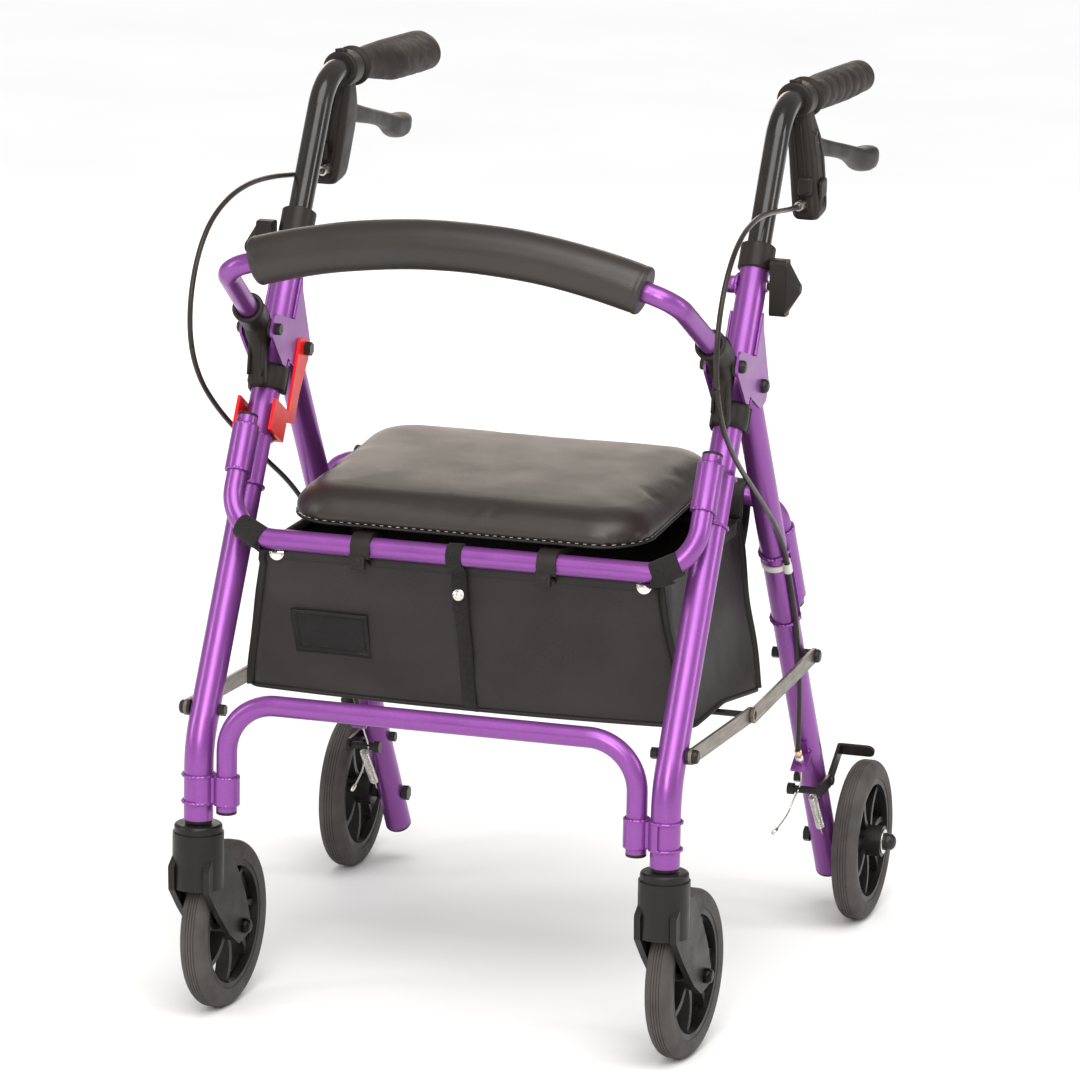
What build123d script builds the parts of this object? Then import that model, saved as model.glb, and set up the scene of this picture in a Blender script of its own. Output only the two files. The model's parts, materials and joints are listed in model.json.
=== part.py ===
from build123d import *
import math
import os

# Rollator walker: four wheels, folding frame, padded seat over a hanging pouch, padded backrest,
# height-adjustable handles with loop-lever cable brakes.
# Millimetres. +Z is up, the casters and backrest are on -Y, the user stands at +Y.
# The user's left side is +X. The origin is on the floor under the middle of the whole object.

os.makedirs("parts", exist_ok=True)

# ---- driving dimensions ---------------------------------------------------------------------
TUBE_X = 221.0            # half distance between the side frames
MAIN_OD = 27.0            # front tube
REAR_OD = 25.4            # rear tube
RAIL_OD = 19.0            # cross tube, seat rails, backrest tube
HANDLE_OD = 22.2
WALL = 1.8

FRONT_LEAN = math.radians(30.2)     # front tube above its bend, back from vertical
REAR_LEAN = math.radians(32.26)     # rear tube, back from vertical
BEND_Y, BEND_Z = -302.0, 262.0      # bend of the front tube, and the caster stem's line
FRONT_FOOT_Z = 192.0
FRONT_LENGTH = 507.0                # from the bend to the tube's top
PIVOT_Y, PIVOT_Z = -76.0, 586.0     # hinge between the front and rear frames
REAR_LENGTH = 645.0                 # from that hinge to the tube's foot

WHEEL_R = 77.5
WHEEL_W = 24.0
RIM_R = 60.0
TRAIL = 58.0                        # caster axle behind the stem
CASTER_TURN = -3.8                  # both casters stand turned a little
AXLE_R = 4.0
RUN = 0.05                          # radial running clearance of a shaft in a hole
REAR_WHEEL_X = 260.0
REAR_AXLE_S = (PIVOT_Z - WHEEL_R) / math.cos(REAR_LEAN)      # down the rear tube from the hinge

CROSS_X, CROSS_Z, CROSS_FOOT_Z = 194.0, 304.0, 202.0
RAIL_OFFSET = 34.0                  # front seat rail's legs stand this far off the front tube
RAIL_RUN_S = 189.0                  # the rail's cross run, up the front tube from its bend
RAIL_TOP_S = 302.0
REAR_RAIL_OFFSET = 30.0
REAR_RAIL_RUN_S = 172.0
REAR_RAIL_END_S = 308.0

SEAT_HALF_W, SEAT_FRONT, SEAT_BACK = 170.0, -205.0, 48.0
SEAT_TILT = 3.15
BOARD_T, PAD_T = 7.0, 27.0

LINK_FRONT = (-285.4, 290.8)        # bolt on the front tube
LINK_REAR_S = 349.5                 # bolt on the rear tube, down from the hinge
LINK_MID = (-95.0, 282.6)           # over-centre joint between the two bars
BAR_W, BAR_T = 15.0, 3.0
FRONT_BAR_X, REAR_BAR_X = 237.2, 240.9

EAR_Y, EAR_Z = -150.0, 618.0        # hinge bolt of the backrest
PAD_R = 22.5
PAD_END, PAD_MID = (182.0, -270.0, 704.0), (0.0, -268.0, 731.0)
BACKREST_FOOT = (221.0, -163.0, 629.0)

GRIP_Z = 827.0                      # corner where the handle turns back into the grip
GRIP_Y = BEND_Y + (GRIP_Z - BEND_Z) * math.tan(FRONT_LEAN)
GRIP_FALL = 3.2                     # grip falls this many degrees toward the user
GRIP_END_Y = 306.0
HANDLE_INSET = 172.0                # handle tube inside the front tube
KNOB_S = 478.0                      # height knob, up the front tube from its bend
HOLE_PITCH = 25.4                   # the handle tube's height holes
LEVER_Y, LEVER_Z = 88.0, 781.0      # lever pin
LEVER_X = 227.5

ARM_S = 521.0                       # brake arm's bolt, down the rear tube
CLAMP_S, CLAMP_N = 503.0, 32.0      # the wire's clamp bolt on the brake arm
CABLE_OD = 5.0


FU = Vector(0, math.sin(FRONT_LEAN), math.cos(FRONT_LEAN))      # up the front tube
FN = Vector(0, -math.cos(FRONT_LEAN), math.sin(FRONT_LEAN))     # forward, square to it
RD = Vector(0, math.sin(REAR_LEAN), -math.cos(REAR_LEAN))       # down the rear tube
RN = Vector(0, -math.cos(REAR_LEAN), -math.sin(REAR_LEAN))      # forward, square to it


# ---- helpers --------------------------------------------------------------------------------
def front_at(s, n=0.0, x=TUBE_X):
    """A point s up the front tube from its bend and n in front of its axis."""
    return Vector(x, BEND_Y, BEND_Z) + FU * s + FN * n


def rear_at(s, n=0.0, x=TUBE_X):
    """A point s down the rear tube from the hinge and n in front of its axis."""
    return Vector(x, PIVOT_Y, PIVOT_Z) + RD * s + RN * n


def rod(a, b, r, bore=0.0):
    """A round bar, or a tube with a bore, from a to b."""
    a, b = Vector(*a), Vector(*b)
    plane = Plane(origin=a, z_dir=b - a)
    face = Circle(r) if bore == 0.0 else Circle(r) - Circle(bore)
    return extrude(plane * face, amount=(b - a).length)


def pin_x(y, z, x0, x1, r, bore=0.0):
    """A round bar along X."""
    return rod((x0, y, z), (x1, y, z), r, bore)


def plate_yz(points, x0, x1):
    """A flat plate in the YZ plane, from x0 to x1, with an outline of (y, z) points."""
    face = make_face(Polyline(*[(x0, y, z) for y, z in points], close=True))
    return extrude(face, amount=x1 - x0, dir=(1, 0, 0))


def tube_on(path, od, wall=WALL):
    """A hollow tube swept along a path."""
    start = Plane(origin=path @ 0, z_dir=path % 0)
    return sweep(start * (Circle(od / 2) - Circle(od / 2 - wall)), path=path)


def both(piece):
    """The piece and its mirror image on the other side."""
    return [piece, mirror(piece, Plane.YZ)]


def save(name, *pieces):
    """One STEP file per node. Pieces may be lists."""
    flat = []
    for piece in pieces:
        flat += piece if isinstance(piece, list) else [piece]
    solids = [s for piece in flat for s in piece.solids()]
    node = solids[0] if len(solids) == 1 else Compound(children=solids)
    export_step(node, f"parts/{name}.step")


def save_sides(name, piece):
    """The same piece for the user's left (+X) and, mirrored, for the right."""
    save(name + "_left", piece)
    save(name + "_right", mirror(piece, Plane.YZ))


def bolt_x(y, z, x0, x1, r, head=6.5, head_t=5.0, nut=6.5, nut_t=6.0):
    """A bolt along X: domed head beyond x1, hexagon nut beyond x0."""
    shank = pin_x(y, z, x0, x1, r)
    dome = pin_x(y, z, x1, x1 + head_t, head)
    dome = fillet(dome.edges().sort_by(Axis.X)[-1:], head_t * 0.6)
    hexagon = extrude(Plane(origin=(x0, y, z), z_dir=(-1, 0, 0)) * RegularPolygon(nut, 6), nut_t)
    return shank + dome + hexagon


# ---- front frame ----------------------------------------------------------------------------
def front_tube():
    path = FilletPolyline((TUBE_X, BEND_Y, FRONT_FOOT_Z), (TUBE_X, BEND_Y, BEND_Z),
                          tuple(front_at(FRONT_LENGTH)), radius=85)
    tube = tube_on(path, MAIN_OD)
    tube -= pin_x(*LINK_FRONT, TUBE_X - 20, TUBE_X + 20, 3.3)
    return tube


def gusset():
    """Two side plates that carry the rear tube's hinge, and two ears for the backrest."""
    plates = []
    r = MAIN_OD / 2
    for x0 in (TUBE_X - r - 2.6, TUBE_X + r + 0.1):
        outline = [front_at(452, 2), front_at(440, -6), front_at(404, -52), front_at(386, -53),
                   front_at(374, -38), front_at(372, -8), front_at(372, 2)]
        plate = plate_yz([(p.Y, p.Z) for p in outline], x0, x0 + 2.5)
        plate = fillet(plate.edges().filter_by(Axis.X).sort_by(Axis.Y)[-3:], 8)
        plate -= pin_x(PIVOT_Y, PIVOT_Z, x0 - 1, x0 + 4, 4.0 + RUN)
        ear = [front_at(410, 2), front_at(407, 12), front_at(396, 57), front_at(376, 57),
               front_at(362, 12), front_at(364, 2)]
        flap = plate_yz([(p.Y, p.Z) for p in ear], x0, x0 + 2.5)
        flap = fillet(flap.edges().filter_by(Axis.X).sort_by(Axis.Y)[:2], 8)
        flap -= pin_x(EAR_Y, EAR_Z, x0 - 1, x0 + 4, 3.5 + RUN)
        plates += [plate + flap]
    return plates


def cross_tube():
    path = FilletPolyline((-CROSS_X, BEND_Y, CROSS_FOOT_Z), (-CROSS_X, BEND_Y, CROSS_Z),
                          (CROSS_X, BEND_Y, CROSS_Z), (CROSS_X, BEND_Y, CROSS_FOOT_Z), radius=46)
    return tube_on(path, RAIL_OD)


def seat_rail():
    top = front_at(RAIL_TOP_S, RAIL_OFFSET)
    low = front_at(RAIL_RUN_S, RAIL_OFFSET)
    path = FilletPolyline((-TUBE_X, top.Y, top.Z), (-TUBE_X, low.Y, low.Z),
                          (TUBE_X, low.Y, low.Z), (TUBE_X, top.Y, top.Z), radius=45)
    return tube_on(path, RAIL_OD)


def saddle(a, b, axis_offset, main_r, rail_r, x_offset):
    """A sleeve on a rail's leg, welded to a half shell on the main tube.

    a and b are the ends on the main tube's axis; axis_offset leads from there to the leg.
    """
    length = (b - a).length
    sleeve = rod(a + axis_offset, b + axis_offset, rail_r + 2.6)
    shell = rod(a - (b - a) * 0.06, b + (b - a) * 0.02, main_r + 2.2)
    cut = Plane(origin=a - (b - a) * 0.5, x_dir=axis_offset, z_dir=b - a)
    shell &= extrude(cut * Pos(40 + x_offset, 0) * Rectangle(80, 80), amount=length * 2)
    mid = axis_offset.length / 2
    web = extrude(Plane(origin=a, x_dir=axis_offset, z_dir=b - a) * Pos(mid, 0)
                  * Rectangle(mid * 1.1, 13), amount=length)
    body = sleeve + shell + web
    body -= rod(a - (b - a), b + (b - a), main_r + 0.03)
    body -= rod(a - (b - a) + axis_offset, b + (b - a) + axis_offset, rail_r + 0.03)
    return body


def rail_saddle():
    a, b = front_at(RAIL_TOP_S - 52), front_at(RAIL_TOP_S - 9)
    return saddle(a, b, FN * RAIL_OFFSET, MAIN_OD / 2, RAIL_OD / 2, 3)


def cross_saddle():
    a, b = Vector(TUBE_X, BEND_Y, 209), Vector(TUBE_X, BEND_Y, 233)
    return saddle(a, b, Vector(CROSS_X - TUBE_X, 0, 0), MAIN_OD / 2, RAIL_OD / 2, 3)


def plug(end, away, od, wall=WALL):
    """A black end plug: a thin cap on the tube's end and a stub inside it."""
    end, away = Vector(*end), Vector(*away).normalized()
    cap = rod(end, end + away * 3, od / 2)
    cap = fillet(cap.edges().filter_by(GeomType.CIRCLE).sort_by_distance(end + away * 50)[0], 1.2)
    return cap + rod(end - away * 9, end, od / 2 - wall - 0.05)


def handle_collar():
    a, top, b = front_at(FRONT_LENGTH - 15), front_at(FRONT_LENGTH), front_at(FRONT_LENGTH + 9)
    collar = rod(a, b, 16.2)
    collar = fillet(collar.edges().filter_by(GeomType.CIRCLE), 1.5)
    collar -= rod(a - FU, top, MAIN_OD / 2 + 0.03)
    collar -= rod(top - FU, b + FU, HANDLE_OD / 2 + RUN)
    return collar


def collar_nut():
    """The nut welded to the tube's inner side, for the height knob's stud."""
    at = front_at(KNOB_S)
    inner = TUBE_X - MAIN_OD / 2
    nut = extrude(Plane(origin=(inner + 0.6, at.Y, at.Z), x_dir=tuple(FU), z_dir=(-1, 0, 0))
                  * RegularPolygon(8.2, 6), amount=8.6)
    return nut - rod(front_at(400), front_at(FRONT_LENGTH), MAIN_OD / 2 + 0.03)


def caster_bearing():
    ring = rod((TUBE_X, BEND_Y, 189.3), (TUBE_X, BEND_Y, 191.9), 12.6)
    ring += rod((TUBE_X, BEND_Y, 191.9), (TUBE_X, BEND_Y, 226), MAIN_OD / 2 - WALL - 0.05)
    return ring - rod((TUBE_X, BEND_Y, 180), (TUBE_X, BEND_Y, 240), 6 + RUN)


# ---- casters and wheels ---------------------------------------------------------------------
def tyre(centre, turn):
    """A solid tyre with rounded shoulders and fine grooves round the tread."""
    half = WHEEL_W / 2
    profile = make_face([
        Polyline((RIM_R, -half + 1), (RIM_R, half - 1), (RIM_R + 5, half), (WHEEL_R - 8, half)),
        ThreePointArc((WHEEL_R - 8, half), (WHEEL_R - 1.9, half - 3.4), (WHEEL_R, half - 8)),
        Line((WHEEL_R, half - 8), (WHEEL_R, -half + 8)),
        ThreePointArc((WHEEL_R, -half + 8), (WHEEL_R - 1.9, -half + 3.4), (WHEEL_R - 8, -half)),
        Polyline((WHEEL_R - 8, -half), (RIM_R + 5, -half), (RIM_R, -half + 1))])
    for y in (-3.9, -1.3, 1.3, 3.9):
        profile -= Pos(WHEEL_R, y) * Rectangle(1.6, 0.7)
    ring = revolve(profile, Axis.Y, 360)
    return Pos(*centre) * Rot(0, 0, turn) * Rot(0, 0, 90) * ring


def hub(centre, turn, bore, half_l):
    """The moulded hub: rim, curved spokes, and a boss with the bearing seats."""
    def disc(r, w, hole=0.0):
        return rod((-w, 0, 0), (w, 0, 0), r, hole)
    body = disc(RIM_R - 0.05, 10.5, RIM_R - 5.5) + disc(15, half_l, 0)
    body += disc(RIM_R - 2, 1.6, 52.0)
    for k in range(7):
        arc = ThreePointArc((0, 13, 0), (0, 33, 9), (0, 56, 5))
        start = Plane(origin=arc @ 0, x_dir=(1, 0, 0), z_dir=arc % 0)
        spoke = sweep(start * Rectangle(13, 5.5), path=arc)
        body += Rot(k * 360 / 7, 0, 0) * spoke
    body -= disc(bore, half_l + 1)
    for side in (-1, 1):
        body -= rod((side * (half_l - 7), 0, 0), (side * (half_l + 1), 0, 0), 11 + RUN)
    return Pos(*centre) * Rot(0, 0, turn) * body


def bearings(centre, turn, half_l):
    rings = [rod((side * (half_l - 6.6), 0, 0), (side * half_l, 0, 0), 11, AXLE_R + 0.02)
             for side in (-1, 1)]
    return [Pos(*centre) * Rot(0, 0, turn) * ring for ring in rings]


def caster_frame(side):
    """Where the caster's own frame stands: on the stem's line, turned a little."""
    return Pos(side * TUBE_X, BEND_Y, 0) * Rot(0, 0, CASTER_TURN)


def fork():
    """Round crown over the wheel and two arms that sweep back to the axle."""
    crown = rod((0, 0, 128), (0, 0, 180), 23.5)
    crown += rod((0, 0, 180), (0, 0, 188), 22)
    crown = fillet(crown.edges().filter_by(GeomType.CIRCLE).sort_by(Axis.Z)[-1], 3)
    arms = None
    for x in (14.2, -20.2):
        outline = [(-22, 150), (-21, 128), (-2, 106), (28, 76), (48, 63), (68, 66), (73, 82),
                   (62, 108), (44, 136), (24, 160), (0, 168)]
        arm = plate_yz(outline, x, x + 6)
        arm = fillet(arm.edges().filter_by(Axis.X), 5)
        arms = arm if arms is None else arms + arm
    body = crown + arms
    body -= pin_x(TRAIL, WHEEL_R, -14.2, 14.2, WHEEL_R + 3.5)
    body -= pin_x(TRAIL, WHEEL_R, -30, 30, AXLE_R + 0.02)
    body -= rod((0, 0, 150), (0, 0, 190), 6.02)
    return body


def caster_hardware():
    stem = rod((0, 0, 158), (0, 0, 225), 6) + rod((0, 0, 152.5), (0, 0, 158), 5.9)
    axle = bolt_x(TRAIL, WHEEL_R, -20.3, 20.3, AXLE_R, head=7, head_t=7, nut=7.5, nut_t=7.5)
    return [stem, axle]


# ---- rear frame -----------------------------------------------------------------------------
def rear_tube():
    tube = rod(rear_at(-12), rear_at(REAR_LENGTH), REAR_OD / 2, REAR_OD / 2 - WALL)
    tube -= pin_x(PIVOT_Y, PIVOT_Z, TUBE_X - 20, TUBE_X + 20, 4.0 + RUN)
    for s, r in ((LINK_REAR_S, 3.3), (ARM_S, 3.3), (REAR_AXLE_S, AXLE_R + 0.02)):
        at = rear_at(s)
        tube -= pin_x(at.Y, at.Z, TUBE_X - 20, TUBE_X + 20, r)
    return tube


def rear_rail():
    low = rear_at(REAR_RAIL_END_S, -REAR_RAIL_OFFSET)
    run = rear_at(REAR_RAIL_RUN_S, -REAR_RAIL_OFFSET)
    path = FilletPolyline((-TUBE_X, low.Y, low.Z), (-TUBE_X, run.Y, run.Z),
                          (TUBE_X, run.Y, run.Z), (TUBE_X, low.Y, low.Z), radius=34)
    return tube_on(path, RAIL_OD)


def rear_rail_saddle():
    a, b = rear_at(REAR_RAIL_END_S - 9), rear_at(REAR_RAIL_RUN_S + 40)
    return saddle(a, b, RN * -REAR_RAIL_OFFSET, REAR_OD / 2, RAIL_OD / 2, 3)


def cable_stop():
    """A bracket that stands forward off the rear tube and ends the cable's outer."""
    a = rear_at(470, 24)
    shelf = extrude(Plane(origin=a, x_dir=(1, 0, 0), z_dir=tuple(RD)) * Rectangle(15, 26), 3)
    rib_points = [rear_at(473, 11), rear_at(473, 23), rear_at(485, 12.4)]
    rib = plate_yz([(p.Y, p.Z) for p in rib_points], TUBE_X - 1.5, TUBE_X + 1.5)
    tab = extrude(Plane(origin=rear_at(455, 13.2), x_dir=(1, 0, 0), z_dir=tuple(RD))
                  * Rectangle(10, 3), 16)
    body = shelf + rib + tab - rod(rear_at(440), rear_at(500), REAR_OD / 2 + 0.03)
    return body - rod(rear_at(465, 27.5), rear_at(476, 27.5), 1.6)


def cable_clip():
    """A band round the cable and the rear tube's side."""
    a, b = rear_at(220, 7.8, TUBE_X + 13.45), rear_at(230, 7.8, TUBE_X + 13.45)
    band = rod(a, b, 4.4)
    band += rod(rear_at(222), rear_at(228), REAR_OD / 2 + 1.4)
    band &= extrude(Plane(origin=rear_at(210), x_dir=tuple(RN), z_dir=tuple(RD))
                    * Pos(28, 0) * Rectangle(60, 60), 30)
    band -= rod(rear_at(200), rear_at(250), REAR_OD / 2 + 0.03)
    return band - rod(a - (b - a), b + (b - a), CABLE_OD / 2 + 0.3)


def rear_bolts():
    """Link bolt with its spacer, brake arm's bolt, and the wheel's axle bolt."""
    link, arm, axle = rear_at(LINK_REAR_S), rear_at(ARM_S), rear_at(REAR_AXLE_S)
    tube_r = REAR_OD / 2
    pieces = [bolt_x(link.Y, link.Z, TUBE_X - tube_r, REAR_BAR_X + BAR_T + 0.3, 3.2, nut=5.5),
              pin_x(link.Y, link.Z, TUBE_X + tube_r, REAR_BAR_X - 0.3, 6.0, 3.25),
              bolt_x(arm.Y, arm.Z, TUBE_X - tube_r, TUBE_X + tube_r + 5.2, 3.2, head=5.0,
                     head_t=2.4, nut=5.0),
              bolt_x(axle.Y, axle.Z, TUBE_X - tube_r, REAR_WHEEL_X + 21.6, AXLE_R, head=8.5,
                     head_t=12, nut=7.5),
              pin_x(axle.Y, axle.Z, TUBE_X + tube_r, REAR_WHEEL_X - 21.3, 7.0, AXLE_R + 0.02)]
    return pieces


def return_spring():
    """The extension spring's coils as a tube, with a straight hook at each end."""
    top, foot = rear_at(513, 27, TUBE_X + 6), rear_at(577, 17.5, TUBE_X + 6)
    along = (foot - top).normalized()
    coil = rod(top + along * 4, foot - along * 7, 4.3, 3.1)
    hooks = rod(top - along * 2, top + along * 4, 4.3) + rod(foot - along * 7, foot - along * 6, 4.3)
    hooks += rod(foot - along * 7, foot, 0.9)
    return coil + hooks


def brake_wire():
    """The ferrule on the stop, the bare inner wire to its clamp, and the wire's free tail."""
    ferrule = rod(rear_at(454, 27.5), rear_at(469.9, 27.5), 3.6, 0.9)
    wire = rod(rear_at(455, 27.5), rear_at(492, 28), 0.8)
    clamp = rear_at(CLAMP_S, CLAMP_N, TUBE_X - 4)
    tail_end = clamp + Vector(-6, -66, -26)
    tail = rod(clamp + (tail_end - clamp) * 0.14, tail_end, 0.7)
    crimp = rod(tail_end, tail_end + (tail_end - clamp) * 0.13, 1.7)
    return [ferrule, wire, tail + crimp]


def brake_arm():
    """A flat bar on the rear tube's outer side. Its front end takes the wire's clamp bolt, and
    its rear end turns out over the tyre."""
    x0 = TUBE_X + REAR_OD / 2 + 2.0
    clamp, hinge = rear_at(CLAMP_S, CLAMP_N), rear_at(ARM_S)
    bend = Vector(x0, 236.5, 167.0)
    bar = None
    for a, b in ((clamp, hinge), (hinge, bend)):
        along = Vector(0, b.Y - a.Y, b.Z - a.Z)
        across = Vector(0, -along.Z, along.Y).normalized() * 6.5
        corners = [a + across, b + across, b - across, a - across]
        piece = plate_yz([(p.Y, p.Z) for p in corners], x0, x0 + 3)
        piece += pin_x(a.Y, a.Z, x0, x0 + 3, 6.5) + pin_x(b.Y, b.Z, x0, x0 + 3, 6.5)
        bar = piece if bar is None else bar + piece
    along = Vector(0, bend.Y - hinge.Y, bend.Z - hinge.Z).normalized()
    pad = extrude(Plane(origin=(x0 + 17, bend.Y, bend.Z), x_dir=(1, 0, 0), z_dir=tuple(along))
                  * SlotOverall(38, 13), 3)
    boss = pin_x(clamp.Y, clamp.Z, TUBE_X - 9, x0, 3.6)
    boss += pin_x(clamp.Y, clamp.Z, TUBE_X - 15, TUBE_X - 9, 5.6)
    body = bar + pad + boss
    body -= pin_x(hinge.Y, hinge.Z, x0 - 1, x0 + 4, 3.2 + RUN)
    return body


# ---- fold links -----------------------------------------------------------------------------
def link_bar(a, b, x0, hole_a, hole_b):
    along = Vector(0, b[0] - a[0], b[1] - a[1])
    across = Vector(0, -along.Z, along.Y).normalized() * BAR_W / 2
    ends = [Vector(0, *a), Vector(0, *b)]
    corners = [ends[0] + across, ends[1] + across, ends[1] - across, ends[0] - across]
    bar = plate_yz([(p.Y, p.Z) for p in corners], x0, x0 + BAR_T)
    bar += pin_x(*a, x0, x0 + BAR_T, BAR_W / 2) + pin_x(*b, x0, x0 + BAR_T, BAR_W / 2)
    return bar - pin_x(*a, x0 - 1, x0 + 5, hole_a) - pin_x(*b, x0 - 1, x0 + 5, hole_b)


def link_rod():
    """The thin rod that joins the two sides' bars under the pouch."""
    return pin_x(*LINK_MID, -FRONT_BAR_X - BAR_T + 0.2, FRONT_BAR_X + BAR_T - 0.2, 3.0)


def front_frame_bolts():
    link = bolt_x(*LINK_FRONT, TUBE_X - MAIN_OD / 2, FRONT_BAR_X + BAR_T + 0.3, 3.2, nut=5.5)
    spacer = pin_x(*LINK_FRONT, TUBE_X + MAIN_OD / 2 + 0.1, FRONT_BAR_X - 0.3, 7.5, 3.25)
    side = MAIN_OD / 2 + 2.7
    hinge = bolt_x(PIVOT_Y, PIVOT_Z, TUBE_X - side - 3, TUBE_X + side, 4.0, head_t=6)
    ear = bolt_x(EAR_Y, EAR_Z, TUBE_X - side, TUBE_X + side, 3.5, head=6, nut=5.5, nut_t=5)
    return [link, spacer, hinge, ear]


# ---- seat and pouch -------------------------------------------------------------------------
def seat_frame():
    """The seat's own plane: its front lower edge, tilted up a little to the rear."""
    return Pos(0, SEAT_FRONT, 453.2) * Rot(SEAT_TILT, 0, 0)


def seat_slab(z0, z1, inset, corner):
    w, d = 2 * (SEAT_HALF_W - inset), SEAT_BACK - SEAT_FRONT - 2 * inset
    slab = extrude(Pos(0, d / 2 + inset, z0) * RectangleRounded(w, d, corner), z1 - z0)
    return slab


def seat_pad():
    pad = seat_slab(BOARD_T + 0.1, BOARD_T + PAD_T, 0, 46)
    pad = fillet(pad.edges().group_by(Axis.Z)[-1], 11)
    return seat_frame() * pad


def seat_board():
    return seat_frame() * seat_slab(0, BOARD_T, 6, 40)


def seat_clips():
    """Two hinge clips that hold the seat board to the front rail and let it swing up."""
    run = front_at(RAIL_RUN_S, RAIL_OFFSET)
    clips = []
    for x in (-88, 88):
        outer = pin_x(run.Y, run.Z, x - 9, x + 9, RAIL_OD / 2 + 3.6)
        tongue = plate_yz([(run.Y, run.Z + 9.0), (run.Y, run.Z + 13.1), (SEAT_FRONT, 452.6),
                           (SEAT_FRONT + 34, 454.4), (SEAT_FRONT + 34, 450.6),
                           (SEAT_FRONT + 4, 446.4)], x - 9, x + 9)
        clip = outer + tongue
        clip -= pin_x(run.Y, run.Z, x - 12, x + 12, RAIL_OD / 2 + RUN)
        mouth = Pos(x, run.Y - 2, run.Z - 12) * Box(20, 15, 16)
        clips.append(clip - mouth)
    return clips


def pouch():
    """An open bag hung between the two seat rails."""
    def loop(half_w, y0, y1, z, inset):
        centre = (y0 + y1) / 2
        w, d = 2 * (half_w - inset), (y1 - y0) - 2 * inset
        return Plane(origin=(0, centre, z)) * RectangleRounded(w, d, 12 - inset)
    outer = loft([loop(190, -224, 26, 434, 0), loop(203, -208, -8, 362, 0),
                  loop(213, -192, -45, 290, 0)], ruled=True)
    inner = loft([loop(190, -224, 26, 436, 2.5), loop(203, -208, -8, 362, 2.5),
                  loop(213, -192, -45, 292.5, 2.5)], ruled=True)
    return outer - inner


def pouch_straps():
    """Webbing loops that hang the bag on the rails, and the strap down its front."""
    front = front_at(RAIL_RUN_S, RAIL_OFFSET)
    back = rear_at(REAR_RAIL_RUN_S, -REAR_RAIL_OFFSET)
    r = RAIL_OD / 2
    pieces = []
    for at, lean in ((front, r + 0.8), (back, -r - 0.8)):
        for x in (-160, 160):
            band = pin_x(at.Y, at.Z, x - 12.5, x + 12.5, r + 1.5, r + 0.1)
            drop = plate_yz([(at.Y + lean - 0.7, at.Z), (at.Y + lean + 0.7, at.Z),
                             (at.Y + lean + 0.7, at.Z - 9), (at.Y + lean - 0.7, at.Z - 9)],
                            x - 12.5, x + 12.5)
            pieces.append(band + drop)
    centre = pin_x(front.Y, front.Z, -7.5, 7.5, r + 1.4, r + 0.1)
    centre += plate_yz([(-231.5, 433.4), (-229.5, 433.4), (-226.4, 431), (-194.4, 290),
                        (-196, 290), (-228, 431)], -7.5, 7.5)
    return pieces + [centre]


# ---- backrest -------------------------------------------------------------------------------
def pad_arc():
    """The shallow arc that the pad and the tube inside it follow, from +X to -X."""
    return ThreePointArc(PAD_END, PAD_MID, (-PAD_END[0], PAD_END[1], PAD_END[2]))


def backrest_leg():
    """From the bracket's socket up to the corner, which lies on the arc's end tangent."""
    arc = pad_arc()
    corner = arc @ 0 - (arc % 0) * 31
    return FilletPolyline(BACKREST_FOOT, tuple(corner), PAD_END, radius=25)


def backrest_tube():
    arc = pad_arc()
    start = Plane(origin=arc @ 0, z_dir=arc % 0)
    ring = Circle(RAIL_OD / 2) - Circle(RAIL_OD / 2 - WALL)
    middle = sweep(start * ring, path=arc)
    leg = tube_on(backrest_leg(), RAIL_OD)
    return middle + leg + mirror(leg, Plane.YZ)


def backrest_pad():
    arc = pad_arc()
    start = Plane(origin=arc @ 0, z_dir=arc % 0)
    return sweep(start * (Circle(PAD_R) - Circle(RAIL_OD / 2 + 0.15)), path=arc)


def backrest_bracket():
    """The plastic elbow between the ears: a socket for the tube, and a cup on the front tube."""
    socket_end = Vector(*BACKREST_FOOT)
    up = backrest_leg() % 0
    body = rod(socket_end - up * 4, socket_end + up * 30, RAIL_OD / 2 + 3.6)
    cheek = [(-190, 628), (-172, 652), (-146, 634), (-136, 616), (-141, 584), (-139, 572),
             (-152, 566), (-163, 580), (-166, 604), (-184, 612)]
    body += fillet(plate_yz(cheek, TUBE_X - 9, TUBE_X + 9).edges().filter_by(Axis.X), 3)
    body += pin_x(EAR_Y, EAR_Z, TUBE_X - 13.2, TUBE_X + 13.2, 9)
    cup = rod(front_at(341), front_at(361), MAIN_OD / 2 + 3.6)
    cup &= extrude(Plane(origin=front_at(330), x_dir=tuple(FN), z_dir=tuple(FU))
                   * Pos(22, 0) * Rectangle(40, 60), 40)
    body += cup
    body -= rod(front_at(300), front_at(440), MAIN_OD / 2 + 0.35)
    body -= rod(socket_end, socket_end + up * 60, RAIL_OD / 2 + 0.03)
    return body - pin_x(EAR_Y, EAR_Z, TUBE_X - 20, TUBE_X + 20, 3.5 + RUN)


# ---- handles and brakes ---------------------------------------------------------------------
def grip_at(y, dz=0.0):
    """A point on the grip's axis at y."""
    return Vector(TUBE_X, y, GRIP_Z - math.tan(math.radians(GRIP_FALL)) * (y - GRIP_Y) + dz)


def handle_tube():
    foot = front_at(FRONT_LENGTH - HANDLE_INSET)
    path = FilletPolyline(tuple(foot), (TUBE_X, GRIP_Y, GRIP_Z), tuple(grip_at(GRIP_END_Y - 8)),
                          radius=55)
    tube = tube_on(path, HANDLE_OD)
    for k in range(5):
        at = front_at(KNOB_S - HOLE_PITCH * k)
        tube -= pin_x(at.Y, at.Z, TUBE_X - 15, TUBE_X + 15, 3.4)
    return tube


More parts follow.
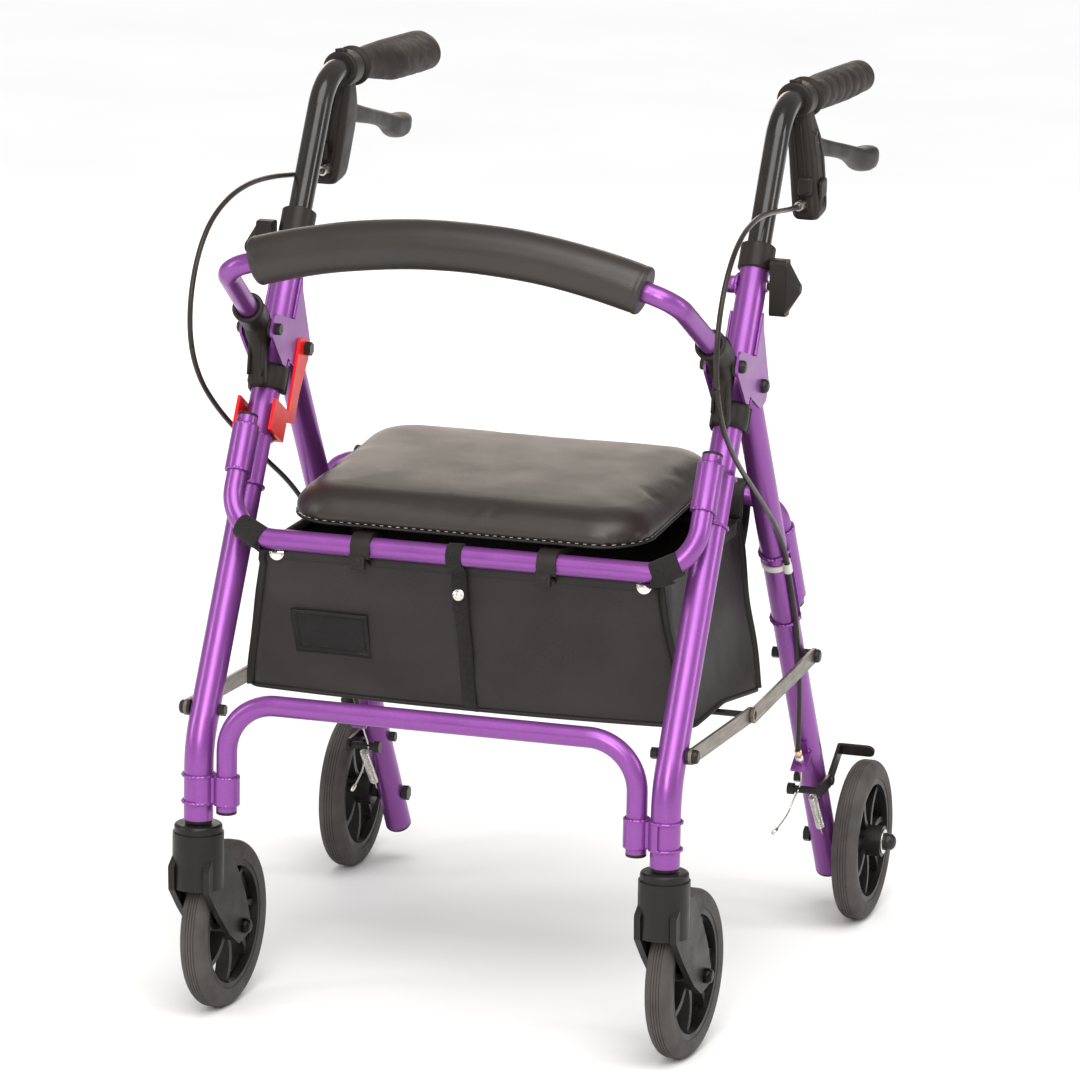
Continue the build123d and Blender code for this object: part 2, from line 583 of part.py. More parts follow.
def grip():
    """A moulded grip: flange, finger ribs, a palm flare above, and a closed end."""
    r = HANDLE_OD / 2
    a, b = grip_at(97), grip_at(GRIP_END_Y)
    along = (b - a).normalized()
    body = rod(a, a + along * 8, 18.5) + rod(a, b, 14.8)
    for k in range(6):
        at = a + along * (38 + 27 * k)
        body += rod(at, at + along * 11, 16.4)
    flare = Plane(origin=grip_at(210), x_dir=(1, 0, 0), z_dir=tuple(along))
    body += extrude(flare * Pos(-8, 4) * SlotOverall(36, 22), 84)
    body = fillet(body.edges().filter_by(GeomType.CIRCLE).sort_by(Axis.Y)[:1], 2)
    return body - rod(a - along, grip_at(GRIP_END_Y - 8), r + 0.03)


def brake_housing():
    """Clamp ring on the handle, and a tapering body below it with a slot for the lever."""
    a, b = grip_at(66), grip_at(90)
    along = (b - a).normalized()
    ring = rod(a, b, 16.8)
    top = Plane(origin=(223.5, 81, 812)) * RectangleRounded(22, 24, 5)
    mid = Plane(origin=(228.5, 86, 775)) * RectangleRounded(25, 38, 6)
    low = Plane(origin=(235, 80, 716)) * RectangleRounded(26, 36, 6)
    body = loft([top, mid, low], ruled=True) + ring
    body -= rod(a - along * 5, b + along * 12, HANDLE_OD / 2 + 0.03)
    body -= Pos(LEVER_X, 106, 771) * Box(16, 57, 56)
    body -= pin_x(LEVER_Y, LEVER_Z, 200, 260, 3 + RUN)
    return body - rod((232, 40, 729.5), (232, 72, 729.5), 3.0)


def barrel():
    """The cable's adjuster, screwed into the housing's front."""
    screw = rod((232, 50, 729.5), (232, 71, 729.5), 2.9)
    knurl = rod((232, 50, 729.5), (232, 57, 729.5), 4.4)
    lock = extrude(Plane(origin=(232, 57.6, 729.5), z_dir=(0, 1, 0)) * RegularPolygon(5, 6), 3)
    return screw + knurl + lock - rod((232, 40, 729.5), (232, 53.5, 729.5), CABLE_OD / 2 + 0.35)


def park_cam():
    """The lever's pin with the cam that locks the lever when it is pushed down."""
    pin = pin_x(LEVER_Y, LEVER_Z, LEVER_X - 12, LEVER_X + 12, 3)
    return pin + pin_x(LEVER_Y, LEVER_Z, LEVER_X + 4.2, LEVER_X + 7.6, 7)


def lever():
    outline = [(84, 789), (106, 786), (136, 775), (200, 763), (262, 748), (290, 746), (300, 738),
               (297, 728), (280, 723), (262, 725), (246, 735), (200, 750), (136, 762), (100, 770),
               (84, 773)]
    blade = plate_yz(outline, LEVER_X - 7.2, LEVER_X + 3.8)
    blade += pin_x(LEVER_Y, LEVER_Z, LEVER_X - 7.2, LEVER_X + 3.8, 8.6)
    tail = plate_yz([(250, 749), (290, 746), (300, 738), (297, 728), (280, 723), (256, 727)],
                    LEVER_X - 8.5, LEVER_X + 9.5)
    tail = fillet(tail.edges().filter_by(Axis.X), 4)
    blade = fillet(blade.edges().filter_by(Axis.X).sort_by(Axis.Y)[-9:-2], 2.5)
    swung = Pos(LEVER_X, 110, 0) * Rot(0, 0, -2.4) * Pos(-LEVER_X, -110, 0)
    body = blade + tail
    rear_half = body & Pos(LEVER_X, 210, 750) * Box(60, 200, 120)
    front_half = body & Pos(LEVER_X, 60, 750) * Box(60, 100, 120)
    body = front_half + swung * rear_half
    return body - pin_x(LEVER_Y, LEVER_Z, LEVER_X - 20, LEVER_X + 20, 3 + RUN)


def knob():
    """A winged knob outboard of the tube, set upright, with its stud."""
    at = front_at(KNOB_S)
    base = Plane(origin=(TUBE_X + 18.3, at.Y, at.Z), x_dir=(0, 0, 1), z_dir=(1, 0, 0))
    wing = extrude(base * RectangleRounded(52, 17, 4), 15)
    peak = loft([base.offset(15) * RectangleRounded(47, 14, 3.5), base.offset(27.5) * Circle(4.4)])
    stud = pin_x(at.Y, at.Z, TUBE_X + MAIN_OD / 2 - 1.4, TUBE_X + 18.3, 3.4)
    return wing + peak + stud


def front_hole():
    """The hole in the front tube's outer wall that the knob's stud passes."""
    at = front_at(KNOB_S)
    return pin_x(at.Y, at.Z, TUBE_X, TUBE_X + 20, 3.4 + RUN)


# ---- latch ----------------------------------------------------------------------------------
def latch():
    """The red fold lock on the user's right: a strap from the rear hinge with a clip that
    snaps on the front tube from behind. Modelled at +X and mirrored when saved."""
    inner = TUBE_X - MAIN_OD / 2 - 5.4
    foot, length = front_at(297), 30
    keep = Plane(origin=foot, x_dir=tuple(FN), z_dir=tuple(FU))
    strap = plate_yz([(-90, 598), (-68, 594), (-66, 578), (-92, 546), (-106, 520), (-126, 526),
                      (-108, 560), (-97, 582)], inner, inner + 2.6)
    strap = fillet(strap.edges().filter_by(Axis.X), 4)
    body = extrude(keep * Pos(-16.5, 0) * Rectangle(6, MAIN_OD + 10.8), length)
    for side in (-1, 1):
        body += extrude(keep * Pos(0, side * (MAIN_OD / 2 + 3.9)) * Rectangle(39, 3), length)
    body += extrude(keep * Pos(-24, 8) * Rectangle(14, 12), length - 8)
    body += strap
    return body - pin_x(PIVOT_Y, PIVOT_Z, inner - 2, inner + 6, 4.0 + RUN)


# ---- brake cable ----------------------------------------------------------------------------
CABLE_ROUTE = [
    (232, 53, 729.5), (233, 24, 731.5), (235, -22, 738), (237.5, -76, 745), (240, -130, 747.5),
    (242.5, -178, 742), (245, -220, 726), (246, -250, 697), (246.5, -265, 659),
    (246.5, -262, 620), (245.5, -240, 585), (244, -204, 555), (242.5, -165, 529),
    (241, -118, 502), (239.5, -70, 474), (237.3, -22, 447), (234.5, 24.2, 412.7),
    (234.4, 50.8, 370.4), (234, 76.5, 327.5), (232, 96.8, 287.1), (228.5, 115.0, 247.8),
    (224.5, 130.7, 212.7), (221, 142.5, 188.2)]


def route_radii(points):
    """The largest arc at each corner: 0.45 of the shorter run over the tangent of half the turn."""
    radii = []
    for a, b, c in zip(points, points[1:], points[2:]):
        first, second = Vector(*b) - Vector(*a), Vector(*c) - Vector(*b)
        half_turn = math.radians(first.get_angle(second)) / 2
        radii.append(0.45 * min(first.length, second.length) / math.tan(half_turn))
    return radii


def brake_cable():
    radii = route_radii(CABLE_ROUTE)
    path = FilletPolyline(*CABLE_ROUTE, radius=radii)
    start = Plane(origin=path @ 0, z_dir=path % 0)
    tube = sweep(start * Circle(CABLE_OD / 2), path=path)
    expected = math.pi * CABLE_OD ** 2 / 4 * path.length
    print("cable radii", [round(r) for r in radii])
    print("cable length", round(path.length, 1), "volume ratio", round(tube.volume / expected, 4))
    return tube


# ---- build ----------------------------------------------------------------------------------
save("front_tubes", both(front_tube() - front_hole()))
save("gusset_plates", [both(p) for p in gusset()][0], [both(p) for p in gusset()][1])
save("cross_tube", cross_tube())
save("seat_rail", seat_rail())
save("tube_saddles", both(rail_saddle()), both(cross_saddle()))
save("frame_end_caps", both(plug(front_at(RAIL_TOP_S, RAIL_OFFSET), FU, RAIL_OD)),
     both(plug((CROSS_X, BEND_Y, CROSS_FOOT_Z), (0, 0, -1), RAIL_OD)))
save("caster_bearings", both(caster_bearing()))
save("handle_collars", both(handle_collar()))
bolts = front_frame_bolts() + [collar_nut()]
washer_x = TUBE_X - MAIN_OD / 2 - 2.7
washer = pin_x(PIVOT_Y, PIVOT_Z, washer_x - 2.9, washer_x - 0.1, 8, 4.03)
save("frame_fasteners", [both(b)[0] for b in bolts], [both(b)[1] for b in bolts], washer)
save("pouch", pouch())
save("pouch_straps", pouch_straps())
save_sides("brake_cable", brake_cable())

save("rear_tubes", both(rear_tube()))
save("rear_rail", rear_rail())
save("rear_rail_saddles", both(rear_rail_saddle()))
save("rear_end_caps", both(plug(rear_at(REAR_LENGTH), RD, REAR_OD)),
     both(plug(rear_at(REAR_RAIL_END_S, -REAR_RAIL_OFFSET), RD, RAIL_OD)))
save("cable_stops", both(cable_stop()))
save("cable_clips", both(cable_clip()))
axle_at = rear_at(REAR_AXLE_S)
rear_centre = (REAR_WHEEL_X, axle_at.Y, axle_at.Z)
rear_metal = rear_bolts() + bearings(rear_centre, 0, 21)
save("rear_fasteners", [both(b)[0] for b in rear_metal], [both(b)[1] for b in rear_metal])
save("return_springs", both(return_spring()))
save("brake_wires", [both(w)[0] for w in brake_wire()], [both(w)[1] for w in brake_wire()])
save_sides("brake_arm", brake_arm())

link_rear = rear_at(LINK_REAR_S)
save("front_link_bars", both(link_bar(LINK_FRONT, LINK_MID, FRONT_BAR_X, 3.2 + RUN, 3.03)))
save("link_cross_rod", link_rod())
save("rear_link_bars", both(link_bar((link_rear.Y, link_rear.Z), LINK_MID, REAR_BAR_X,
                                     3.2 + RUN, 4.2)))

save("seat_pad", seat_pad())
save("seat_board", seat_board())
save("seat_clips", seat_clips())
save("backrest_tube", backrest_tube())
save("backrest_pad", backrest_pad())
save("backrest_brackets", both(backrest_bracket()))

save_sides("handle_tube", handle_tube())
save_sides("grip", grip())
save_sides("brake_housing", brake_housing())
save_sides("barrel_adjuster", barrel())
save_sides("park_cam", park_cam())
save_sides("brake_lever", lever())
save_sides("height_knob", knob())
save("fold_latch", mirror(latch(), Plane.YZ))

for side, name in ((1, "left"), (-1, "right")):
    frame = caster_frame(side)
    hub_at = (0, TRAIL, WHEEL_R)
    save(f"caster_fork_{name}", frame * fork())
    metal = caster_hardware() + bearings(hub_at, 0, 13.6)
    save(f"caster_hardware_{name}", [frame * piece for piece in metal])
    save(f"front_tyre_{name}", frame * tyre(hub_at, 0))
    save(f"front_hub_{name}", frame * hub(hub_at, 0, 5.5, 13.6))
    centre = (side * REAR_WHEEL_X, axle_at.Y, axle_at.Z)
    save(f"rear_tyre_{name}", tyre(centre, 0))
    save(f"rear_hub_{name}", hub(centre, 0, 5.5, 21))
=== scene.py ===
import json
import math

import bmesh
import bpy
import numpy as np
from mathutils import Matrix, Vector, noise


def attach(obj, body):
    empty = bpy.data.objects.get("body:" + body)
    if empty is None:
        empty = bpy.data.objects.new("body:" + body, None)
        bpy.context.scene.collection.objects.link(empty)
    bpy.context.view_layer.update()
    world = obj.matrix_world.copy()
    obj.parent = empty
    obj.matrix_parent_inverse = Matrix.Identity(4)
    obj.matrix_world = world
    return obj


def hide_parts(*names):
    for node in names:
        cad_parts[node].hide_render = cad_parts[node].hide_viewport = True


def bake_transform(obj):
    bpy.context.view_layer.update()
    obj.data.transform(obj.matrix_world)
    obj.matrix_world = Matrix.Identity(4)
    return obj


# Looks of the rollator walker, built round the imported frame. Metres, +Z up, the user stands at +Y.
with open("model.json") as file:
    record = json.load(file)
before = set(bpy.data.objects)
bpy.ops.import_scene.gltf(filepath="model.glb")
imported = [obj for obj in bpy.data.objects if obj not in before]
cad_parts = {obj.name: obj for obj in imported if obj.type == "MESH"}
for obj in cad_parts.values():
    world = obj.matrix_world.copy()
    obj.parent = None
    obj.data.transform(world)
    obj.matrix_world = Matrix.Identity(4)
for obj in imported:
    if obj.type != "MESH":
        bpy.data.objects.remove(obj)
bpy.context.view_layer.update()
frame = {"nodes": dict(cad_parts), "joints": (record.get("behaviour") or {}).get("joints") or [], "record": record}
joints = {j["name"]: j for j in frame["joints"]}
nodes = frame["nodes"]
scene = bpy.context.scene

# ---- driving dimensions ---------------------------------------------------------------------
TUBE_X = 0.221                       # half distance between the side frames
MAIN_R, REAR_R, RAIL_R = 0.0135, 0.0127, 0.0095
BEND = Vector((TUBE_X, -0.302, 0.262))             # bend of the front tube
PIVOT = Vector((TUBE_X, *joints["fold"]["pos_m"][1:]))
UP = Vector(joints["handle_height_left"]["axis"]).normalized()      # up the front tube
FORWARD = Vector((0, -UP.z, UP.y))                                  # square to it
DOWN = (Vector((TUBE_X, *joints["rear_link_turn"]["pos_m"][1:])) - PIVOT).normalized()
REAR_FORWARD = Vector((0, DOWN.z, -DOWN.y))                         # square to the rear tube
GRIP_CORNER = Vector((TUBE_X, 0.0269, 0.827))      # where the handle turns back into the grip
GRIP_FALL = math.tan(math.radians(3.2))
SIDES = (("left", 1), ("right", -1))


def front_at(s, n=0.0, x=TUBE_X):
    """A point s up the front tube from its bend and n in front of its axis."""
    p = BEND + UP * s + FORWARD * n
    return Vector((x, p.y, p.z))


def rear_at(s, n=0.0, x=TUBE_X):
    """A point s down the rear tube from the hinge and n in front of its axis."""
    p = PIVOT + DOWN * s + REAR_FORWARD * n
    return Vector((x, p.y, p.z))


def grip_at(y, side=0.0, up=0.0):
    """A point on the left grip's axis at y, moved outboard and up."""
    return Vector((TUBE_X + side, y, GRIP_CORNER.z - GRIP_FALL * (y - GRIP_CORNER.y) + up))


def on_side(p, sign):
    """The point on the +X side, or its mirror image where sign is -1."""
    return Vector((p.x * sign, p.y, p.z))


def round_angles(count):
    """Evenly spaced angles round a full turn."""
    return [2 * math.pi * j / count for j in range(count)]


def unit(value):
    """The value held between 0 and 1."""
    return min(max(value, 0.0), 1.0)


def eased(share):
    """A share held between 0 and 1 that starts and ends softly."""
    share = unit(share)
    return share * share * (3 - 2 * share)


# ---- camera ---------------------------------------------------------------------------------
def make_camera():
    azimuth, elevation, roll = math.radians(17.35), math.radians(13.21), math.radians(1.06)
    target, distance = Vector((0.012, -0.0231, 0.4112)), 6.314
    back = Vector((math.sin(azimuth) * math.cos(elevation),
                   -math.cos(azimuth) * math.cos(elevation), math.sin(elevation)))
    right = (-back).cross(Vector((0, 0, 1))).normalized()
    up = right.cross(-back)
    x_axis = right * math.cos(roll) + up * math.sin(roll)
    y_axis = up * math.cos(roll) - right * math.sin(roll)
    data = bpy.data.cameras.new("camera")
    data.lens = 226.47
    data.sensor_width = 36
    data.clip_end = 60
    camera = bpy.data.objects.new("camera", data)
    turn = Matrix((x_axis, y_axis, back)).transposed().to_4x4()
    camera.matrix_world = Matrix.Translation(target + back * distance) @ turn
    scene.collection.objects.link(camera)
    scene.camera = camera


# ---- brake cable route: the same points as the part's tube ------------------------------------
CABLE_R = 0.0025
CABLE_ROUTE = [
    (0.232, 0.053, 0.7295), (0.233, 0.024, 0.7315), (0.235, -0.022, 0.738),
    (0.2375, -0.076, 0.745), (0.240, -0.130, 0.7475), (0.2425, -0.178, 0.742),
    (0.245, -0.220, 0.726), (0.246, -0.250, 0.697), (0.2465, -0.265, 0.659),
    (0.2465, -0.262, 0.620), (0.2455, -0.240, 0.585), (0.244, -0.204, 0.555),
    (0.2425, -0.165, 0.529), (0.241, -0.118, 0.502), (0.2395, -0.070, 0.474),
    (0.2373, -0.022, 0.447), (0.2345, 0.0242, 0.4127), (0.2344, 0.0508, 0.3704),
    (0.234, 0.0765, 0.3275), (0.232, 0.0968, 0.2871), (0.2285, 0.1150, 0.2478),
    (0.2245, 0.1307, 0.2127), (0.221, 0.1425, 0.1882)]


def nurbs_points(points, resolution=8):
    """Points along the smooth NURBS line with these control points."""
    data = bpy.data.curves.new("route", "CURVE")
    data.dimensions = "3D"
    data.resolution_u = resolution
    spline = data.splines.new("NURBS")
    spline.points.add(len(points) - 1)
    for point, place in zip(spline.points, points):
        point.co = (*place, 1)
    spline.order_u = 3
    spline.use_endpoint_u = True
    route = bpy.data.objects.new("route", data)
    scene.collection.objects.link(route)
    bpy.context.view_layer.update()
    line = bpy.data.meshes.new_from_object(route)
    found = [v.co.copy() for v in line.vertices]
    bpy.data.objects.remove(route)
    bpy.data.meshes.remove(line)
    return found


# ---- materials ------------------------------------------------------------------------------
class Look:
    """A Principled material with its own object coordinates and a few node helpers."""

    def __init__(self, name, color, roughness=0.5, metallic=0.0, coat=0.0, sheen=0.0):
        self.material = bpy.data.materials.new(name)
        self.material.use_nodes = True
        self.nodes = self.material.node_tree.nodes
        self.links = self.material.node_tree.links
        self.shader = self.nodes["Principled BSDF"]
        self.shader.inputs["Base Color"].default_value = (*color, 1)
        self.shader.inputs["Roughness"].default_value = roughness
        self.shader.inputs["Metallic"].default_value = metallic
        self.shader.inputs["Coat Weight"].default_value = coat
        self.shader.inputs["Coat Roughness"].default_value = 0.12
        self.shader.inputs["Sheen Weight"].default_value = sheen
        self.shader.inputs["Specular IOR Level"].default_value = 0.5 if metallic else 0.3
        self.place = self.nodes.new("ShaderNodeTexCoord").outputs["Object"]
        self.bumps = []

    def stretch(self, scale):
        """Object coordinates scaled differently along X, Y and Z."""
        node = self.nodes.new("ShaderNodeMapping")
        node.inputs["Scale"].default_value = scale
        self.links.new(self.place, node.inputs["Vector"])
        return node.outputs["Vector"]

    def noise(self, scale, detail=3.0, stretch=None):
        node = self.nodes.new("ShaderNodeTexNoise")
        node.inputs["Scale"].default_value = scale
        node.inputs["Detail"].default_value = detail
        self.links.new(self.stretch(stretch) if stretch else self.place, node.inputs["Vector"])
        return node.outputs["Fac"]

    def cells(self, scale, stretch=None):
        node = self.nodes.new("ShaderNodeTexVoronoi")
        node.inputs["Scale"].default_value = scale
        self.links.new(self.stretch(stretch) if stretch else self.place, node.inputs["Vector"])
        return node.outputs["Distance"]

    def waves(self, scale, direction):
        node = self.nodes.new("ShaderNodeTexWave")
        node.wave_type = "BANDS"
        node.bands_direction = direction
        node.inputs["Scale"].default_value = scale
        self.links.new(self.place, node.inputs["Vector"])
        return node.outputs["Fac"]

    def ramp(self, value, low, high, first=0.3, last=0.7):
        """Maps a grey value between first and last to colours or greys from low to high."""
        node = self.nodes.new("ShaderNodeValToRGB")
        node.color_ramp.elements[0].position = first
        node.color_ramp.elements[1].position = last
        node.color_ramp.elements[0].color = (*low, 1)
        node.color_ramp.elements[1].color = (*high, 1)
        self.links.new(value, node.inputs["Fac"])
        return node.outputs["Color"]

    def color(self, value, low, high, first=0.3, last=0.7):
        self.links.new(self.ramp(value, low, high, first, last), self.shader.inputs["Base Color"])

    def roughness(self, value, low, high, first=0.3, last=0.7):
        grey = self.ramp(value, (low,) * 3, (high,) * 3, first, last)
        self.links.new(grey, self.shader.inputs["Roughness"])

    def bump(self, value, depth, strength=1.0):
        """Adds a bump of that depth in metres on top of those before."""
        node = self.nodes.new("ShaderNodeBump")
        node.inputs["Distance"].default_value = depth
        node.inputs["Strength"].default_value = strength
        self.links.new(value, node.inputs["Height"])
        if self.bumps:
            self.links.new(self.bumps[-1], node.inputs["Normal"])
        self.bumps.append(node.outputs["Normal"])
        self.links.new(self.bumps[-1], self.shader.inputs["Normal"])


def frame_paint():
    """Candy purple lacquer over fine metal flake."""
    look = Look("frame_paint", (0.30, 0.065, 0.35), 0.36, 0.66, coat=0.22)
    look.shader.inputs["Coat Roughness"].default_value = 0.10
    look.color(look.noise(2600, 2), (0.21, 0.052, 0.270), (0.30, 0.085, 0.365), 0.35, 0.65)
    look.roughness(look.noise(30, 4), 0.31, 0.42)
    look.bump(look.noise(3200, 1), 0.00002, 0.5)
    look.bump(look.noise(90, 2), 0.00004, 0.25)
    return look.material


def black_paint():
    look = Look("black_paint", (0.008, 0.007, 0.006), 0.2, 0.0, coat=0.3)
    look.roughness(look.noise(60, 4), 0.14, 0.3)
    look.bump(look.noise(500, 3), 0.00003, 0.4)
    look.color(look.noise(25, 2), (0.010, 0.009, 0.008), (0.018, 0.015, 0.013))
    return look.material


def plastic(name, low, high, rough=(0.4, 0.55), grain=1800, depth=0.00005):
    """Moulded plastic: fine spark-eroded grain, and wear that changes its gloss."""
    look = Look(name, low, rough[0])
    look.color(look.noise(18, 5), low, high)
    look.roughness(look.noise(45, 5), rough[0], rough[1])
    look.bump(look.noise(grain, 2), depth, 0.6)
    look.bump(look.noise(90, 3), 0.0001, 0.25)
    return look.material


def grip_rubber():
    look = Look("grip_rubber", (0.02, 0.016, 0.013), 0.62)
    look.color(look.noise(30, 5), (0.012, 0.0085, 0.0065), (0.026, 0.0185, 0.014))
    look.roughness(look.noise(120, 4), 0.5, 0.72)
    look.bump(look.cells(1500), 0.0001, 0.6)
    return look.material


def vinyl(name, low, high, rough=(0.33, 0.45), pebble=900, gloss=0.3):
    """Coated cloth with a leather-like pebble and soft long waves."""
    look = Look(name, low, rough[0])
    look.shader.inputs["Specular IOR Level"].default_value = gloss
    look.color(look.noise(9, 5), low, high)
    look.roughness(look.noise(22, 5), rough[0], rough[1])
    look.bump(look.noise(14, 3), 0.0012, 0.12)
    look.bump(look.cells(pebble), 0.00016, 0.55)
    look.bump(look.noise(2400, 2), 0.00005, 0.5)
    return look.material


def webbing():
    """Woven nylon tape: ribs across two thread directions, and a little fuzz."""
    look = Look("webbing", (0.008, 0.007, 0.007), 0.8, sheen=0.04)
    look.color(look.noise(900, 3), (0.005, 0.004, 0.004), (0.018, 0.015, 0.013))
    look.bump(look.waves(260, "Z"), 0.0003, 0.7)
    look.bump(look.waves(420, "X"), 0.0002, 0.6)
    look.bump(look.noise(3000, 2), 0.0001, 0.5)
    return look.material


def metal(name, low, high, rough=(0.2, 0.42)):
    """Bare metal with fine drawing streaks along Z."""
    streak = (1, 1, 0.15)
    look = Look(name, low, rough[0], 1.0)
    look.color(look.noise(70, 4), low, high)
    look.roughness(look.noise(200, 4, streak), rough[0], rough[1])
    look.bump(look.noise(900, 3, streak), 0.00004, 0.5)
    return look.material


def link_steel():
    look = Look("link_steel", (0.16, 0.13, 0.105), 0.36, 0.55, coat=0.15)
    look.color(look.noise(40, 5), (0.12, 0.10, 0.080), (0.20, 0.165, 0.135))
    look.roughness(look.noise(300, 3, (1, 0.1, 1)), 0.3, 0.5)
    look.bump(look.noise(700, 3, (1, 0.15, 1)), 0.00004, 0.5)
    return look.material


def tyre_rubber():
    look = Look("tyre_rubber", (0.07, 0.063, 0.06), 0.72)
    look.color(look.noise(28, 6), (0.045, 0.040, 0.038), (0.078, 0.070, 0.066))
    look.roughness(look.noise(70, 4), 0.62, 0.82)
    look.bump(look.noise(1500, 3), 0.0001, 0.6)
    look.bump(look.noise(60, 3), 0.0002, 0.2)
    return look.material


def floor_paint():
    look = Look("floor_paint", (0.86, 0.86, 0.86), 0.85)
    look.color(look.noise(3, 3), (0.85, 0.85, 0.85), (0.88, 0.88, 0.88))
    return look.material


def two_metals(name, z, below, above):
    """A black finish below a height and bright zinc above it, for a stem over an axle."""
    look = Look(name, below, 0.35, 0.9)
    split = look.nodes.new("ShaderNodeSeparateXYZ")
    look.links.new(look.place, split.inputs["Vector"])
    look.color(split.outputs["Z"], below, above, z, z + 0.001)
    look.roughness(look.noise(300, 3), 0.25, 0.42)
    look.bump(look.noise(900, 3), 0.00005, 0.5)
    return look.material


LOOKS = {
    "frame_paint": frame_paint(),
    "black_paint": black_paint(),
    "black_plastic": plastic("black_plastic", (0.009, 0.0065, 0.005), (0.018, 0.013, 0.010)),
    "fork_plastic": plastic("fork_plastic", (0.006, 0.0052, 0.0048), (0.012, 0.0105, 0.009),
                            (0.34, 0.5), 1500, 0.00006),
    "white_plastic": plastic("white_plastic", (0.62, 0.60, 0.55), (0.75, 0.73, 0.68), (0.3, 0.45)),
    "red_plastic": plastic("red_plastic", (0.80, 0.012, 0.012), (0.90, 0.022, 0.018),
                           (0.25, 0.38), 1200, 0.00003),
    "grip_rubber": grip_rubber(),
    "seat_vinyl": vinyl("seat_vinyl", (0.017, 0.0125, 0.0095), (0.026, 0.0195, 0.0150),
                        (0.36, 0.44), 900, 0.5),
    "pouch_vinyl": vinyl("pouch_vinyl", (0.019, 0.016, 0.015), (0.030, 0.026, 0.024),
                         (0.48, 0.60), 1100),
    "pouch_edge": vinyl("pouch_edge", (0.008, 0.007, 0.006), (0.016, 0.014, 0.012),
                        (0.5, 0.62), 1600),
    "webbing": webbing(),
    "cable_sheath": plastic("cable_sheath", (0.016, 0.012, 0.009), (0.030, 0.022, 0.017),
                            (0.25, 0.36), 2500, 0.00002),
    "zinc_steel": metal("zinc_steel", (0.62, 0.60, 0.55), (0.80, 0.78, 0.72)),
    "copper": metal("copper", (0.75, 0.50, 0.32), (0.85, 0.62, 0.42), (0.22, 0.35)),
    "black_steel": plastic("black_steel", (0.010, 0.009, 0.008), (0.020, 0.017, 0.014),
                           (0.28, 0.42), 1400, 0.00004),
    "link_steel": link_steel(),
    "tyre_rubber": tyre_rubber(),
    "thread": plastic("thread", (0.30, 0.28, 0.25), (0.42, 0.40, 0.36), (0.5, 0.6)),
    "rib_edge": plastic("rib_edge", (0.050, 0.040, 0.033), (0.075, 0.060, 0.050), (0.5, 0.6)),
    "patch": vinyl("patch", (0.006, 0.005, 0.005), (0.010, 0.009, 0.008), (0.45, 0.6), 1500),
    "snap": metal("snap", (0.80, 0.74, 0.66), (0.90, 0.85, 0.78), (0.12, 0.25)),
    "caster_steel": two_metals("caster_steel", 0.15, (0.012, 0.010, 0.009), (0.7, 0.68, 0.62)),
    "floor_paint": floor_paint(),
}
NODE_LOOKS = {
    "frame_fasteners": "black_steel", "rear_fasteners": "black_steel",
    "brake_arm_left": "black_steel", "brake_arm_right": "black_steel",
    "caster_hardware_left": "caster_steel", "caster_hardware_right": "caster_steel",
    "link_cross_rod": "black_steel",
}


def dress_cad_nodes():
    slots = {s["node"]: s["material_slot"] for s in frame["record"]["subparts"]}
    for name, obj in nodes.items():
        smooth_by_angle(obj, 30)
        look = LOOKS[NODE_LOOKS.get(name, slots[name])]
        obj.data.materials.clear()
        obj.data.materials.append(look)


# ---- mesh helpers ---------------------------------------------------------------------------
def add_piece(name, points, faces, look, smooth=True):
    mesh = bpy.data.meshes.new(name)
    mesh.from_pydata([tuple(p) for p in points], [], faces)
    mesh.validate()
    obj = bpy.data.objects.new(name, mesh)
    scene.collection.objects.link(obj)
    obj.data.materials.append(LOOKS[look])
    tidy = bmesh.new()
    tidy.from_mesh(mesh)
    bmesh.ops.remove_doubles(tidy, verts=tidy.verts, dist=1e-6)
    bmesh.ops.recalc_face_normals(tidy, faces=tidy.faces)
    tidy.to_mesh(mesh)
    tidy.free()
    if smooth:
        mesh.polygons.foreach_set("use_smooth", [True] * len(mesh.polygons))
    return obj


def ring_faces(rows, count, closed_ends=True):
    """Quads between rows of count points each, and one face over each end."""
    faces = []
    for i in range(rows - 1):
        for j in range(count):
            a, b = i * count + j, i * count + (j + 1) % count
            faces.append((a, b, b + count, a + count))
    if closed_ends:
        faces.append(tuple(range(count)))
        faces.append(tuple((rows - 1) * count + j for j in range(count)))
    return faces


def loft(name, rings, look, closed_ends=True):
    """A skin over rings of equally many points."""
    points = [p for ring in rings for p in ring]
    faces = ring_faces(len(rings), len(rings[0]), closed_ends)
    return add_piece(name, points, faces, look)


def frames_along(points):
    """A side and an up vector at each point of a line, turning as little as possible."""
    tangents = []
    for i in range(len(points)):
        a, b = points[max(i - 1, 0)], points[min(i + 1, len(points) - 1)]
        tangents.append((b - a).normalized())
    side = tangents[0].cross(Vector((0, 0, 1)))
    if side.length < 0.1:
        side = tangents[0].cross(Vector((0, 1, 0)))
    frames = []
    for tangent in tangents:
        side = (side - tangent * side.dot(tangent)).normalized()
        frames.append((side, tangent.cross(side)))
    return frames


def tube_rings(points, radius, count=12):
    """Rings round a line; radius is a number or a function of (share along, angle)."""
    rings = []
    for i, (point, (side, up)) in enumerate(zip(points, frames_along(points))):
        ring = []
        for angle in round_angles(count):
            r = radius(i / (len(points) - 1), angle) if callable(radius) else radius
            ring.append(point + side * (r * math.cos(angle)) + up * (r * math.sin(angle)))
        rings.append(ring)
    return rings


def tube(name, points, radius, look, count=12):
    return loft(name, tube_rings(points, radius, count), look)


